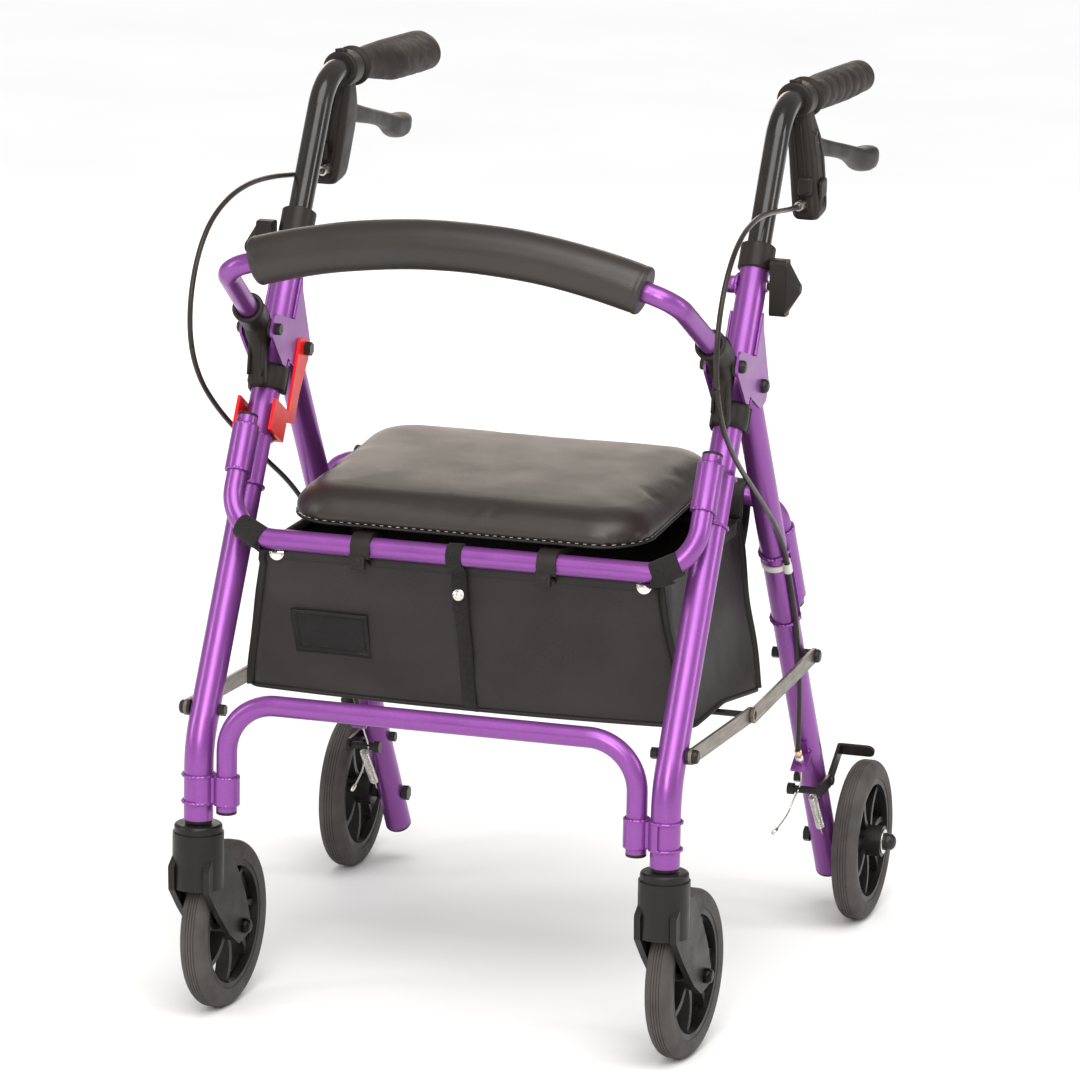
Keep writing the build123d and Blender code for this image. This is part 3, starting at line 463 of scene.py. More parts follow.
def join(name, pieces):
    """One object from several, with the materials of all."""
    bpy.ops.object.select_all(action="DESELECT")
    for piece in pieces:
        piece.select_set(True)
    bpy.context.view_layer.objects.active = pieces[0]
    bpy.ops.object.join()
    pieces[0].name = name
    pieces[0].data.name = name
    return pieces[0]


def mirrored(obj, name):
    """A mirror image across X = 0."""
    copy = obj.copy()
    copy.data = obj.data.copy()
    copy.name = name
    scene.collection.objects.link(copy)
    copy.data.transform(Matrix.Scale(-1, 4, (1, 0, 0)))
    copy.data.flip_normals()
    return copy


def modify(obj, kind, **settings):
    """Adds a modifier and applies it."""
    modifier = obj.modifiers.new(kind, kind)
    for key, value in settings.items():
        setattr(modifier, key, value)
    bpy.context.view_layer.update()
    graph = bpy.context.evaluated_depsgraph_get()
    mesh = bpy.data.meshes.new_from_object(obj.evaluated_get(graph))
    obj.modifiers.clear()
    old = obj.data
    obj.data = mesh
    bpy.data.meshes.remove(old)


def smooth_by_angle(obj, degrees=35):
    """Sharp edges where faces meet steeply, smooth shading elsewhere."""
    obj.data.polygons.foreach_set("use_smooth", [True] * len(obj.data.polygons))
    obj.data.set_sharp_from_angle(angle=math.radians(degrees))


# ---- seat -----------------------------------------------------------------------------------
SEAT_ORIGIN = Vector((0, -0.205, 0.4532))
SEAT_TILT = math.radians(3.15)
SEAT_HALF_W, SEAT_HALF_D = 0.171, 0.1390
SEAT_LIP = 0.025                     # how far the pad's lip hangs over the board's front edge
SEAT_CORNER = 0.048


def seat_point(x, along, up):
    """A point on the seat: across, back from its front edge, and above its board."""
    c, s = math.cos(SEAT_TILT), math.sin(SEAT_TILT)
    return SEAT_ORIGIN + Vector((x, along * c - up * s, along * s + up * c))


def rounded_loop(half_w, half_d, corner, corner_steps=8, side_steps=16):
    """Points round a rectangle with round corners, and points along its straight sides."""
    corner = min(corner, half_w, half_d)
    arcs = []
    for k, (sx, sy) in enumerate(((1, 1), (-1, 1), (-1, -1), (1, -1))):
        cx, cy = sx * (half_w - corner), sy * (half_d - corner)
        turns = [math.pi / 2 * (k + i / corner_steps) for i in range(corner_steps + 1)]
        arcs.append([(cx + corner * math.cos(t), cy + corner * math.sin(t)) for t in turns])
    points = []
    for k, arc in enumerate(arcs):
        points += arc
        start, end = Vector(arc[-1]), Vector(arcs[(k + 1) % 4][0])
        points += [tuple(start.lerp(end, i / side_steps)) for i in range(1, side_steps)]
    return points


def seat_loop(inset, up):
    corner = max(SEAT_CORNER - inset, 0.004)
    loop = rounded_loop(SEAT_HALF_W - inset, SEAT_HALF_D - inset, corner)
    return [seat_point(x, y + SEAT_HALF_D - SEAT_LIP, up) for x, y in loop]


def puffed(obj, voxel, cap, freedom, pressure=4.0, steps=20):
    """Inflates a closed piece as cloth. No point moves further than cap times its freedom."""
    modify(obj, "REMESH", mode="VOXEL", voxel_size=voxel)
    modifier = obj.modifiers.new("cloth", "CLOTH")
    modifier.settings.use_pressure = True
    modifier.settings.uniform_pressure_force = pressure
    modifier.settings.effector_weights.gravity = 0
    rest = [v.co.copy() for v in obj.data.vertices]
    for step in range(1, steps + 1):
        scene.frame_set(step)
    blown = obj.evaluated_get(bpy.context.evaluated_depsgraph_get()).data
    moves = [v.co - at for v, at in zip(blown.vertices, rest)]
    obj.modifiers.clear()
    scene.frame_set(1)
    for vertex, at, move in zip(obj.data.vertices, rest, moves):
        if move.length > cap:
            move = move * (cap / move.length)
        vertex.co = at + move * freedom(at)
    modify(obj, "SUBSURF", levels=1)
    obj.data.polygons.foreach_set("use_smooth", [True] * len(obj.data.polygons))


def make_seat():
    """A crowned foam pad, its welt over the board's edge, and the stitches along the welt."""
    profile = [(0.060, 0.0074), (0.020, 0.0074), (0.007, 0.0072), (0.0035, 0.0078),
               (0.0016, 0.0096), (0.0008, 0.0125), (0.0010, 0.0160), (0.0022, 0.0198),
               (0.0046, 0.0235), (0.0084, 0.0268), (0.0136, 0.0296), (0.0205, 0.0318),
               (0.0300, 0.0333), (0.0430, 0.0343), (0.0600, 0.0350), (0.0850, 0.0355),
               (0.1320, 0.0357)]
    pad = loft("seat_cushion", [seat_loop(inset, up) for inset, up in profile], "seat_vinyl")
    normal = seat_point(0, 0, 1) - seat_point(0, 0, 0)
    base = seat_point(0, 0, 0.0073)
    puffed(pad, 0.0042, 0.0030, lambda p: unit((p - base).dot(normal) / 0.020))
    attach(pad, "seat")
    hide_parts("seat_pad")
    welt = seat_loop(0.0026, 0.0074)
    piping = tube("seat_welt", [Vector(p) for p in welt + welt[:2]], 0.0015, "pouch_edge", 8)
    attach(piping, "seat")
    edge = seat_loop(0.0014, 0.0098)
    stitches = []
    for a, b in zip(edge, edge[1:] + edge[:1]):
        a, b = Vector(a), Vector(b)
        count = max(1, round((b - a).length / 0.0075))
        for i in range(count):
            start, end = a.lerp(b, (i + 0.2) / count), a.lerp(b, (i + 0.62) / count)
            stitches.append(tube("stitch", [start, end], 0.00035, "thread", 5))
    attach(join("seat_stitches", stitches), "seat")


# ---- backrest -------------------------------------------------------------------------------
ARC_HALF_W, ARC_TOP, ARC_DROP = 0.182, 0.731, 0.027
PAD_RADIUS = 0.0222


def arc_point(x):
    """A point on the backrest tube's arc."""
    radius = (ARC_HALF_W ** 2 + ARC_DROP ** 2) / (2 * ARC_DROP)
    drop = radius - math.sqrt(radius * radius - x * x)
    return Vector((x, -0.268 - 2 / 27 * drop, ARC_TOP - drop))


def make_backrest():
    """Foam sleeve in vinyl: rolled rims, an open end round the tube, and a seam at its back."""
    profile = [(0.0, 0.0098), (0.0, 0.0150), (0.0, 0.0196), (0.0006, 0.0212), (0.0022, 0.0222),
               (0.0042, 0.0224), (0.0058, 0.0219), (0.0075, 0.0221)]
    inner = [0.012 + 0.340 * i / 72 for i in range(73)]
    length = 2 * ARC_HALF_W
    spots = [(at, r) for at, r in profile] + [(at, PAD_RADIUS) for at in inner]
    spots += [(length - at, r) for at, r in reversed(profile)]
    rings = []
    for at, r in spots:
        x = -ARC_HALF_W + at
        centre = arc_point(x)
        side = (arc_point(x + 0.001) - arc_point(x - 0.001)).normalized()
        up = Vector((0, -2 / 27, 1)).normalized()
        up = (up - side * up.dot(side)).normalized()
        front = side.cross(up)
        ring = []
        for angle in round_angles(64):
            soft = noise.noise(Vector((x * 16, math.cos(angle) * 1.4, math.sin(angle) * 1.4)))
            seam = math.exp(-((angle - 1.5 * math.pi) / 0.07) ** 2)
            radius = r
            if r > 0.0215:
                radius += 0.0005 * soft - 0.0009 * seam
            ring.append(centre + front * (radius * math.cos(angle))
                        + up * (radius * 1.01 * math.sin(angle)))
        rings.append(ring)
    pad = loft("backrest_sleeve", rings, "seat_vinyl", closed_ends=False)
    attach(pad, "backrest")
    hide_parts("backrest_pad")


# ---- handles --------------------------------------------------------------------------------
GRIP_START, GRIP_LENGTH = 0.0970, 0.2092
RIB_START, RIB_END, RIB_PITCH = 0.018, 0.178, 0.0262


def grip_radius(at, angle):
    """The grip's radius at a distance along it; angle 0 is outboard and a right angle is up."""
    flange = 0.0044 * math.exp(-((at - 0.005) / 0.0042) ** 4)
    neck = -0.0012 * math.exp(-((at - 0.013) / 0.004) ** 2)
    outer = max(0.0, math.cos(angle + 0.35)) ** 0.6
    wave = (at - RIB_START) / RIB_PITCH
    ribs = 0.0
    if RIB_START < at < RIB_END:
        phase = wave - math.floor(wave)
        ribs = 0.0021 * math.sin(math.pi * phase) ** 0.7 - 0.0007
    under = max(0.0, -math.sin(angle)) * 0.4
    rise = eased((at - 0.024) / 0.070)
    tail = unit((GRIP_LENGTH - at) / 0.020) ** 0.5
    lobe = max(0.0, math.cos(angle - math.radians(203))) ** 1.7
    crest = max(0.0, math.cos(angle - math.radians(96))) ** 3
    wing = 0.0130 * rise * tail * lobe + 0.0022 * rise * tail * crest
    end = 0.0
    if at > 0.2022:
        end = -0.0072 * (1 - math.sqrt(max(0.0, 1 - ((at - 0.2022) / 0.0071) ** 2)))
    return 0.0148 + flange + neck + ribs * max(outer, under) + wing + end


def make_grip():
    """Moulded grip for the +X side: a flange, finger ribs outboard and a palm wing inboard."""
    steps = [0.0, 0.0006, 0.0015] + [0.003 + 0.0022 * i for i in range(89)]
    steps += [0.2005, 0.2030, 0.2050, 0.2066, 0.2078, 0.2086, GRIP_LENGTH]
    rings = []
    for at in steps:
        centre = grip_at(GRIP_START + at)
        ring = []
        for angle in round_angles(56):
            r = grip_radius(at, angle)
            if at < 0.002:
                r -= 0.0018 * (1 - at / 0.002) ** 2
            ring.append(centre + Vector((r * math.cos(angle), 0, r * math.sin(angle))))
        rings.append(ring)
    grip = loft("grip_shape_left", rings, "grip_rubber")
    grooves = []
    for k in range(6):
        at = RIB_START + RIB_PITCH * k
        line = []
        for j in range(15):
            angle = math.radians(-118 + 170 * j / 14)
            r = grip_radius(at, angle) + 0.0001
            out = Vector((r * math.cos(angle), 0, r * math.sin(angle)))
            line.append(grip_at(GRIP_START + at) + out)
        grooves.append(tube("rib_line", line, 0.00055, "rib_edge", 6))
    return join("grip_shape_left", [grip] + grooves)


def make_housing():
    """Brake housing for the +X side: clamp ring, tapering body, ridges, pad and cable boss."""
    spots = []
    for y, r in ((0.0660, 0.0142), (0.0660, 0.0160), (0.0668, 0.0168), (0.0690, 0.0170),
                 (0.0740, 0.0171), (0.0860, 0.0170), (0.0886, 0.0168), (0.0896, 0.0160),
                 (0.0898, 0.0140)):
        spots.append([grip_at(y) + Vector((r * math.cos(t), 0, r * math.sin(t)))
                      for t in round_angles(48)])
    ring = loft("ring", spots, "black_plastic")
    levels = [(0.816, 0.2235, 0.080, 0.010, 0.0105), (0.806, 0.2240, 0.081, 0.0112, 0.0125),
              (0.796, 0.2252, 0.0830, 0.0120, 0.0150), (0.785, 0.2268, 0.0855, 0.0124, 0.0180),
              (0.773, 0.2285, 0.0865, 0.0127, 0.0192), (0.760, 0.2300, 0.0855, 0.0129, 0.0190),
              (0.746, 0.2318, 0.0835, 0.0130, 0.0186), (0.732, 0.2336, 0.0815, 0.0131, 0.0182),
              (0.724, 0.2345, 0.0800, 0.0130, 0.0180), (0.7195, 0.2350, 0.0792, 0.0124, 0.0170),
              (0.7168, 0.2352, 0.0787, 0.0108, 0.0150), (0.7160, 0.2353, 0.0785, 0.0085, 0.0125)]
    rings = []
    for z, x, y, half_x, half_y in levels:
        loop = rounded_loop(half_x, half_y, 0.0058, 6, 4)
        rings.append([Vector((x + px, y + py, z + py * 0.12)) for px, py in loop])
    body = loft("body", rings, "black_plastic")
    slot = add_piece("slot", [(x, y, z) for x in (0.2196, 0.2354) for y in (0.0785, 0.140)
                              for z in (0.744, 0.800)],
                     [(0, 1, 3, 2), (4, 6, 7, 5), (0, 4, 5, 1), (2, 3, 7, 6), (0, 2, 6, 4),
                      (1, 5, 7, 3)], "black_plastic", False)
    cut = body.modifiers.new("slot", "BOOLEAN")
    cut.object = slot
    cut.solver = "EXACT"
    body.data = bpy.data.meshes.new_from_object(
        body.evaluated_get(bpy.context.evaluated_depsgraph_get()))
    body.modifiers.clear()
    bpy.data.objects.remove(slot)
    smooth_by_angle(body, 42)
    extras = []
    for side in (-0.0052, 0.0032):
        line = [Vector((x + side * (0.8 + 0.2 * i / 8), y - half_y - 0.0001, z - half_y * 0.12))
                for i, (z, x, y, half_x, half_y) in enumerate(levels[1:9])]
        extras.append(tube("ridge", line, 0.0011, "black_plastic", 8))
    for k, side in enumerate((-0.0004, 0.0002)):
        line = [Vector((x + half_x + side, y - half_y * (0.55 - 0.9 * k), z))
                for z, x, y, half_x, half_y in levels[2:9]]
        extras.append(tube("ridge", line, 0.0010, "black_plastic", 8))
    pad = [Vector((0.2462, y, z)) for y, z in
           ((0.0695, 0.7330), (0.0900, 0.7350), (0.0900, 0.7520), (0.0695, 0.7500))]
    extras.append(plaque("pad", pad, Vector((1, 0, 0)), 0.0022, 0.0035, "black_plastic"))
    front = [Vector((x, 0.0590, z)) for x, z in
             ((0.2295, 0.7390), (0.2425, 0.7390), (0.2420, 0.7560), (0.2300, 0.7560))]
    extras.append(plaque("pad", front, Vector((0, -1, 0)), 0.0050, 0.0030, "black_plastic"))
    extras.append(tube("boss", [Vector((0.232, y, 0.7295)) for y in (0.0600, 0.0662)],
                       0.0068, "black_plastic", 6))
    tab = [grip_at(0.0700, x, 0.0168) for x in (-0.0055, 0.0055)]
    extras.append(tube("tab", [tab[0], (tab[0] + tab[1]) / 2 + Vector((0, 0, 0.0012)), tab[1]],
                       0.0019, "black_plastic", 10))
    for z in (0.7265, 0.7925):
        head = [Vector((0.2468 if z < 0.75 else 0.2378, 0.0840, z)) + Vector((dx, 0, 0))
                for dx in (-0.004, 0.0002, 0.0010)]
        extras.append(tube("screw", head, lambda t, a: 0.0034 if t < 0.9 else 0.0026,
                           "black_steel", 18))
    return join("housing_shape_left", [ring, body] + extras)


def plaque(name, corners, out, rise, corner, look):
    """A raised plate with round corners on four points, standing out by rise."""
    a, b, c, d = corners
    rings = []
    for inset, lift in ((0.0, -0.001), (0.0, rise * 0.6), (0.0006, rise * 0.9),
                        (0.0014, rise), (0.0030, rise)):
        width, height = (b - a).length, (d - a).length
        loop = rounded_loop(width / 2 - inset, height / 2 - inset, corner, 5, 2)
        centre = (a + b + c + d) / 4
        u, v = (b - a).normalized(), (d - a).normalized()
        rings.append([centre + u * x + v * y + out * lift for x, y in loop])
    return loft(name, rings, look)


def make_lever():
    """Brake lever for the +X side: a hub on its pin, a waisted blade and a broad thumb end."""
    spots = [(0.0800, 0.7800, 0.0040, 0.0040), (0.0815, 0.7800, 0.0070, 0.0052),
             (0.0860, 0.7800, 0.0086, 0.0055), (0.0960, 0.7792, 0.0090, 0.0055),
             (0.1100, 0.7770, 0.0088, 0.0054), (0.1260, 0.7735, 0.0084, 0.0054),
             (0.1480, 0.7685, 0.0078, 0.0056), (0.1750, 0.7628, 0.0072, 0.0060),
             (0.2050, 0.7562, 0.0071, 0.0068), (0.2250, 0.7510, 0.0076, 0.0078),
             (0.2400, 0.7462, 0.0088, 0.0090), (0.2520, 0.7420, 0.0104, 0.0100),
             (0.2640, 0.7392, 0.0114, 0.0106), (0.2780, 0.7378, 0.0117, 0.0108),
             (0.2890, 0.7372, 0.0110, 0.0102), (0.2955, 0.7370, 0.0094, 0.0088),
             (0.2988, 0.7370, 0.0070, 0.0066), (0.2999, 0.7370, 0.0036, 0.0034)]
    rings = []
    for y, z, half_h, half_w in spots:
        swing = max(0.0, y - 0.110) * math.tan(math.radians(2.4))
        x = 0.2258 + swing + 0.0012 * unit((y - 0.20) / 0.08)
        ring = []
        for angle in round_angles(32):
            c, s = math.cos(angle), math.sin(angle)
            flat = (abs(c) ** 3 + abs(s) ** 3) ** (-1 / 3)
            ring.append(Vector((x + half_w * c * flat, y + half_h * s * flat * 0.22,
                                z + half_h * s * flat)))
        rings.append(ring)
    lever = loft("lever_shape_left", rings, "black_plastic")
    hub = tube("hub", [Vector((x, 0.088, 0.781)) for x in (0.2206, 0.2309)], 0.0084,
               "black_plastic", 28)
    return join("lever_shape_left", [lever, hub])


def make_handles():
    for piece, body, node in ((make_grip(), "handle_{}", "grip_{}"),
                              (make_housing(), "handle_{}", "brake_housing_{}"),
                              (make_lever(), "brake_lever_{}", "brake_lever_{}")):
        other = mirrored(piece, piece.name.replace("left", "right"))
        for side, obj in (("left", piece), ("right", other)):
            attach(obj, body.format(side))
            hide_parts(node.format(side))


# ---- cables, springs and wires ----------------------------------------------------------------
def make_cables():
    """Each cable in two pieces, split where its route turns; only the cap at its top follows the handle."""
    line = nurbs_points(CABLE_ROUTE, 10)
    turn = min(range(len(line)), key=lambda i: (line[i] - Vector(CABLE_ROUTE[9])).length)
    for side, sign in SIDES:
        route = [on_side(p, sign) for p in line]
        upper = tube("cable_upper_" + side, route[:turn + 1], CABLE_R, "cable_sheath", 14)
        lower = tube("cable_lower_" + side, route[turn:], CABLE_R, "cable_sheath", 14)
        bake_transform(upper)
        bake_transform(lower)
        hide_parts("brake_cable_" + side)
        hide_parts("brake_cable_" + side)
        start, end = route[0], route[3]
        cap = tube("cable_cap_" + side, [start, start.lerp(end, 0.18)],
                   lambda t, a: 0.0034 if t < 0.8 else 0.0030, "black_plastic", 16)
        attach(cap, "handle_" + side)


def make_springs():
    for side, sign in SIDES:
        top, foot = rear_at(0.513, 0.027, TUBE_X + 0.006), rear_at(0.577, 0.0175, TUBE_X + 0.006)
        along = (foot - top).normalized()
        across = Vector((1, 0, 0))
        up = along.cross(across)
        length, turns = (foot - top).length, 24
        line = [top - along * 0.004, top + along * 0.001]
        for i in range(turns * 12 + 1):
            angle = 2 * math.pi * i / 12
            centre = top + along * (0.005 + (length - 0.014) * i / (turns * 12))
            line.append(centre + (across * math.cos(angle) + up * math.sin(angle)) * 0.0036)
        line += [foot - along * 0.006, foot - along * 0.001, foot + along * 0.003]
        spring = tube("spring_" + side, [on_side(p, sign) for p in line], 0.00075,
                      "zinc_steel", 6)
        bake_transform(spring)
        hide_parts("return_springs")


def make_wires():
    """The ferrules on the stop, the bare wire to its clamp, and the wire's crimped tail."""
    for side, sign in SIDES:
        clamp = rear_at(0.503, 0.032, TUBE_X - 0.004)
        stop = rear_at(0.470, 0.0275)
        end = clamp + Vector((-0.006, -0.066, -0.026))
        middle = clamp.lerp(end, 0.5) + Vector((0, 0.002, -0.007))
        path = nurbs_points([rear_at(0.455, 0.0275), stop, rear_at(0.488, 0.0285), clamp,
                             clamp.lerp(end, 0.2), middle, end], 8)
        wire = tube("wire_" + side, [on_side(p, sign) for p in path], 0.0008, "zinc_steel", 8)
        crimp = tube("crimp", [on_side(end.lerp(middle, t), sign) for t in (-0.05, 0.22)],
                     0.0018, "zinc_steel", 12)
        wire = join("wire_" + side, [wire, crimp])
        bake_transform(wire)
        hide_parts("brake_wires")
        sleeves = []
        for name, spots, radius, look, count in (
                ("ferrule", (0.4530, 0.4560, 0.4565, 0.4640), 0.0034, "copper", 20),
                ("ferrule_barrel", (0.4602, 0.4698), 0.0040, "zinc_steel", 6)):
            line = [on_side(rear_at(s, 0.0275), sign) for s in spots]
            sleeves.append(tube(name, line, radius, look, count))
        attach(join("ferrule_" + side, sleeves), "rear_frame")


# ---- pouch ----------------------------------------------------------------------------------
FRONT_RAIL = front_at(0.189, 0.034)
REAR_RAIL = rear_at(0.172, -0.030)
POUCH_LEVELS = [  # height, half width, front, back: the top row first
    (0.4345, 0.1880, -0.2250, 0.0300), (0.4150, 0.1905, -0.2215, 0.0330),
    (0.3900, 0.1945, -0.2165, 0.0340), (0.3600, 0.1995, -0.2095, 0.0335),
    (0.3300, 0.2050, -0.2015, 0.0320), (0.3050, 0.2100, -0.1950, 0.0300),
    (0.2930, 0.2125, -0.1915, 0.0280)]
POUCH_TOP, POUCH_FOOT = POUCH_LEVELS[0][0], POUCH_LEVELS[-1][0]
FLAP_HALF_W = 0.192
CLOTH_THICK, TAPE_THICK = 0.0018, 0.0016


def pouch_level(share):
    """Half width, front and back of the pouch at a share of its height, top first."""
    at = share * (len(POUCH_LEVELS) - 1)
    i = min(int(at), len(POUCH_LEVELS) - 2)
    low, high = np.array(POUCH_LEVELS[i]), np.array(POUCH_LEVELS[i + 1])
    return low + (high - low) * (at - i)


def pouch_skin(share, x, y, z, front):
    """Moves a point of the pouch's skin by its folds, sag and dents."""
    middle = math.sin(math.pi * unit(share)) ** 0.7
    wave = noise.noise(Vector((x * 7 + 3, z * 16 - abs(x) * 5, y * 6)))
    fine = noise.noise(Vector((x * 22, z * 30 + x * 8, y * 20 + 5)))
    pull = 0.0075 * wave + 0.0016 * fine
    if front:
        hang = math.exp(-((share - 0.24 - 1.1 * (abs(x) - 0.09) ** 2 * 8) / 0.10) ** 2)
        pull += 0.0035 * hang * (1 - min(abs(x) / 0.2, 1) ** 2) - 0.003 * middle
        return Vector((x, y + pull * middle, z))
    if abs(x) > 0.15 and -0.19 < y < 0.02:
        return Vector((x * (1 + (pull - 0.004) * 4.0 * middle), y, z))
    return Vector((x, y - pull * middle, z))


def make_pouch():
    rows = 30
    rings = []
    for i in range(rows + 1):
        share = i / rows
        z, half_w, front, back = pouch_level(share)
        centre, half_d = (front + back) / 2, (back - front) / 2
        ring = []
        for px, py in rounded_loop(half_w, half_d, 0.010, 4, 26):
            y = centre + py
            rear = unit((y - front) / (back - front))
            low = z - 0.020 * share * max(0.0, rear - 0.45) * 1.6
            low -= 0.0035 * share * (1 - (px / half_w) ** 2) * (1 - rear)
            ring.append(pouch_skin(share, px, y, low, y < front + 0.004))
        rings.append(ring)
    last = rings[-1]
    middle = sum(last, Vector()) / len(last)
    for shrink, rise in ((0.96, 0.0006), (0.75, 0.0030), (0.45, 0.0046), (0.15, 0.0050)):
        rings.append([middle.lerp(p, shrink) + Vector((0, 0, rise + 0.002 * noise.noise(p * 18)))
                      for p in last])
    bag = loft("pouch_bag", rings, "pouch_vinyl", closed_ends=False)
    count = len(last)
    floor_face = bmesh.new()
    floor_face.from_mesh(bag.data)
    floor_face.verts.ensure_lookup_table()
    start = (len(rings) - 1) * count
    floor_face.faces.new([floor_face.verts[start + j] for j in range(count)])
    floor_face.to_mesh(bag.data)
    floor_face.free()
    modify(bag, "SOLIDIFY", thickness=CLOTH_THICK, offset=-1)
    edges = []
    for sx in (-1, 1):
        for rear in (0, 1):
            line = []
            for i in range(rows + 1):
                ring = rings[i]
                best = max(ring, key=lambda p: sx * p.x + (1 if rear else -1) * p.y * 1.2)
                line.append(best)
            out = Vector((sx, -0.35 if not rear else 0.6, 0)).normalized()
            edges.append(ribbon("corner_seam", line, out, 0.0075, 0.0024, "pouch_edge", 0.35))
    loop = rings[rows]
    foot = [p + Vector((0, 0, -0.0005)) for p in loop] + [loop[0]]
    edges.append(tube("foot_seam", foot, 0.0022, "pouch_edge", 8))
    hem = [p + Vector((0, 0, -0.0060)) for p in rings[0]] + [rings[0][0] + Vector((0, 0, -0.006))]
    edges.append(ribbon("hem", hem, Vector((0, 0, 1)), 0.0125, 0.0030, "pouch_vinyl"))
    pouch = join("pouch_bag", [bag] + edges)
    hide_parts("pouch")
    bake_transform(pouch)


def ribbon(name, line, out, width, thick, look, shift=0.0):
    """A flat strip along a line; out is the direction of its width."""
    line = [Vector(p) for p in line]
    rings = []
    for i, point in enumerate(line):
        a, b = line[max(i - 1, 0)], line[min(i + 1, len(line) - 1)]
        along = (b - a).normalized()
        wide = (out - along * out.dot(along)).normalized()
        flat = along.cross(wide)
        point = point + wide * (width * shift)
        w, t = width / 2, thick / 2
        corners = ((-w, -t * 0.5), (-w * 0.94, -t), (w * 0.94, -t), (w, -t * 0.5),
                   (w, t * 0.5), (w * 0.94, t), (-w * 0.94, t), (-w, t * 0.5))
        rings.append([point + wide * u + flat * v for u, v in corners])
    return loft(name, rings, look)


def front_face(x, z):
    """The point on the pouch's front at x and z, just outside its skin."""
    share = unit((POUCH_TOP - z) / (POUCH_TOP - POUCH_FOOT))
    front = pouch_level(share)[2]
    return pouch_skin(share, x, front, z, True) + Vector((0, -0.0022, 0))


def make_pouch_flap():
    """The bag's rear flap: over the rear rail and down behind it."""
    profile = ((0.0290, 0.4330), (0.0280, 0.4480), (0.0290, 0.4610), (0.0350, 0.4695),
               (0.0430, 0.4715), (0.0510, 0.4680), (0.0555, 0.4590), (0.0560, 0.4440),
               (0.0520, 0.4280), (0.0440, 0.4140), (0.0370, 0.4020))
    points, faces = [], []
    columns, rows = 60, len(profile)
    for i in range(columns + 1):
        x = -FLAP_HALF_W + 2 * FLAP_HALF_W * i / columns
        for j, (y, z) in enumerate(profile):
            soft = noise.noise(Vector((x * 20, j * 0.5, 2)))
            fade = 1 - (abs(x) / FLAP_HALF_W) ** 6
            points.append((x, y + 0.0025 * soft + 0.001, z + 0.0018 * soft * fade))
    for i in range(columns):
        for j in range(rows - 1):
            a = i * rows + j
            faces.append((a, a + 1, a + rows + 1, a + rows))
    flap = add_piece("pouch_flap", points, faces, "pouch_vinyl")
    modify(flap, "SUBSURF", levels=1)
    modify(flap, "SOLIDIFY", thickness=CLOTH_THICK, offset=0)
    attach(flap, "rear_frame")
    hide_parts("pouch")


def rail_point(share):
    """A point and direction on the front rail's left bend; 0 is the run, 1 the upright leg."""
    radius = 0.045
    centre = FRONT_RAIL - Vector((radius, 0, 0)) + UP * radius
    angle = math.pi / 2 * share
    point = centre + Vector((radius * math.sin(angle), 0, 0)) - UP * (radius * math.cos(angle))
    along = Vector((math.cos(angle), 0, 0)) + UP * math.sin(angle)
    return point, along


def band(name, centre, along, width, radius, thick):
    """A strap's turn round a rail, a little uneven."""
    u = along.cross(Vector((0, 1, 0))).normalized()
    v = along.cross(u)
    rings = []
    for offset, grow in ((-0.5, 0.0), (-0.5, 0.7), (-0.47, 1.0), (-0.2, 1.08), (0.2, 1.05),
                         (0.47, 1.0), (0.5, 0.7), (0.5, 0.0)):
        ring = []
        for angle in round_angles(36):
            r = radius + 0.0002 + thick * grow * (1 + 0.25 * math.sin(angle * 3 + offset * 2))
            ring.append(centre + along * (offset * width) + u * (r * math.cos(angle))
                        + v * (r * math.sin(angle)))
        rings.append(ring)
    return loft(name, rings, "webbing", closed_ends=False)


def disc(name, centre, out, radius, rise, look):
    """A domed snap cap with a rolled rim."""
    out = Vector(out).normalized()
    profile = ((0.0, 1.0), (0.35, 1.0), (0.55, 0.93), (0.52, 0.80), (0.62, 0.70), (0.85, 0.45),
               (1.0, 0.12))
    side = out.cross(Vector((0, 0, 1))).normalized()
    up = side.cross(out)
    rings = []
    for height, wide in profile:
        rings.append([centre + out * (height * rise) + (side * math.cos(t) + up * math.sin(t))
                      * (radius * wide) for t in round_angles(28)])
    return loft(name, rings, look)


